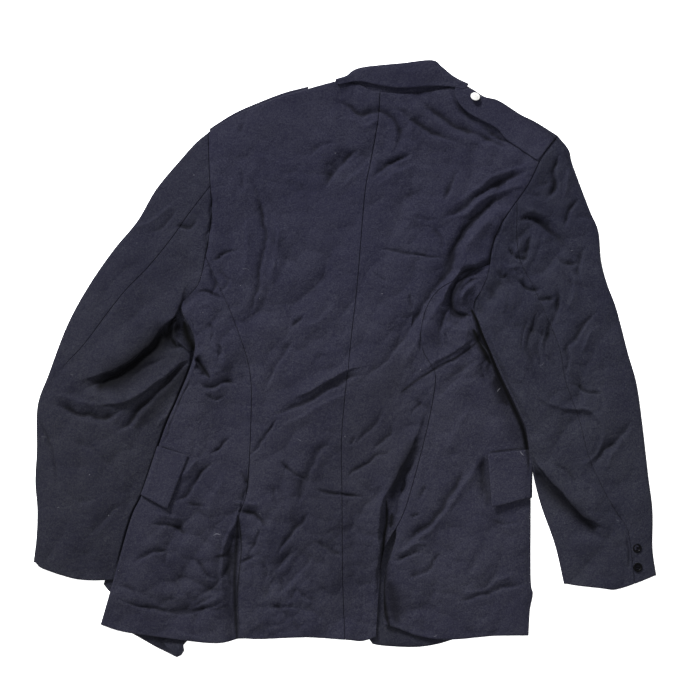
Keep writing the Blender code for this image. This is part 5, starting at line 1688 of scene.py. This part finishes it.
def buildButtons():
    metal, horn, stitch = buildMetalButton(), buildBlackButton(), buildButtonThread()
    wide = Matrix.Diagonal((metalButton["front"], metalButton["front"], metalButton["frontHeight"], 1))
    placeCopy(metal, "shoulder_button_right", "epaulette_button_right",
              placed(*buttonPlaces["rightStrap"]))
    placeCopy(metal, "shoulder_button_left", "epaulette_button_left",
              placed(*buttonPlaces["leftStrap"]))
    front, cuff = buttonPlaces["front"], buttonPlaces["cuff"]
    for n in range(front["count"]):
        y = jacket["break"] + front["first"] - front["apart"] * n
        x = float(across(line["centreSeam"], y))
        placeCopy(metal, "front_button_%d_metal" % (n + 1), "front_button_%d" % (n + 1),
                  placed(x, y, front["height"], 180) @ wide)
    for side in ("right", "left"):
        for n, (x, y) in enumerate(cuff[side], 1):
            node = "cuff_button_%s_%d" % (side, n)
            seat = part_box(node)[0].z / mm + cuff["raised"]
            over = placed(x, y, seat, cuff["tilt"], (0, 1, 0))
            place = over if side == "right" else placed(x, y, cuff["height"], 180)
            placeCopy(horn, node + "_horn", node, place)
            placeCopy(stitch, node + "_thread", None, place)
    for master in (metal, horn, stitch):
        bpy.data.objects.remove(master, do_unlink=True)


buildButtons()
print("buttons ready")


# the floor, then each sheet's size printed beside its stated area, the light and the camera
bpy.ops.object.select_all(action="DESELECT")
paperFloor = {"size": 6.0, "colour": (0.93, 0.93, 0.93, 1), "roughness": 0.9, "glow": 0.5}
bpy.ops.mesh.primitive_plane_add(size=paperFloor["size"], location=(0, 0, 0))
floorPlane = bpy.context.object
floorPlane.name = "floor"
paper = bpy.data.materials.new("paleFloor")
paper.use_nodes = True
shader = paper.node_tree.nodes["Principled BSDF"]
shader.inputs["Base Color"].default_value = paperFloor["colour"]
shader.inputs["Roughness"].default_value = paperFloor["roughness"]
shader.inputs["Emission Color"].default_value = (1, 1, 1, 1)
# shadows on the floor stay pale to the camera, and no light comes up from it
seen = paper.node_tree.nodes.new("ShaderNodeLightPath").outputs["Is Camera Ray"]
glow = times(paper.node_tree, seen, paperFloor["glow"])
paper.node_tree.links.new(glow, shader.inputs["Emission Strength"])
floorPlane.data.materials.append(paper)

for piece, flat, area, restsOn in sheetRows:
    used = sum(p.area for p in piece.data.polygons) / 2
    low, high = piece.bound_box[0], piece.bound_box[6]
    print("%-26s %6d faces, one side %.4f m2, declared %.4f, box %.3f x %.3f, z %.1f to %.1f mm" % (
        piece.name, len(piece.data.polygons), used, area, high[0] - low[0], high[1] - low[1],
        low[2] * 1000, high[2] * 1000))

studio = {"from": (-0.45, 0.83, 0.62), "strength": 8.9, "angle": 16.0, "fill": 1.0,
          "middle": (0.06, -0.04, 3.3), "pool": 260.0, "spread": 20.0}
sun = bpy.data.lights.new("key", "SUN")
sun.energy, sun.angle = studio["strength"], math.radians(studio["angle"])
key = bpy.data.objects.new("key", sun)
key.location = Vector(studio["from"]) * 3
key.rotation_euler = (-Vector(studio["from"])).to_track_quat("-Z", "Y").to_euler()
bpy.context.collection.objects.link(key)
# a soft pool of light on the middle of the jacket
pool = bpy.data.lights.new("pool", "SPOT")
pool.energy, pool.spot_size, pool.spot_blend = studio["pool"], math.radians(studio["spread"]), 1.0
pool.shadow_soft_size = 0.2
poolLamp = bpy.data.objects.new("pool", pool)
poolLamp.location = studio["middle"]
bpy.context.collection.objects.link(poolLamp)
world = bpy.data.worlds.new("studio")
world.use_nodes = True
world.node_tree.nodes["Background"].inputs[0].default_value = (1, 1, 1, 1)
world.node_tree.nodes["Background"].inputs[1].default_value = studio["fill"]
bpy.context.scene.world = world
bpy.context.scene.view_settings.view_transform = "Standard"

view = {"middle": (0.0068, 0.0095), "height": 3.4, "width": 0.952}
cameraData = bpy.data.cameras.new("camera")
cameraData.sensor_width = 36.0
cameraData.lens = 36.0 * (view["height"] - 0.008) / view["width"]
camera = bpy.data.objects.new("camera", cameraData)
camera.location = (*view["middle"], view["height"])
bpy.context.collection.objects.link(camera)
bpy.context.scene.camera = camera
print("stage, lights and camera ready")
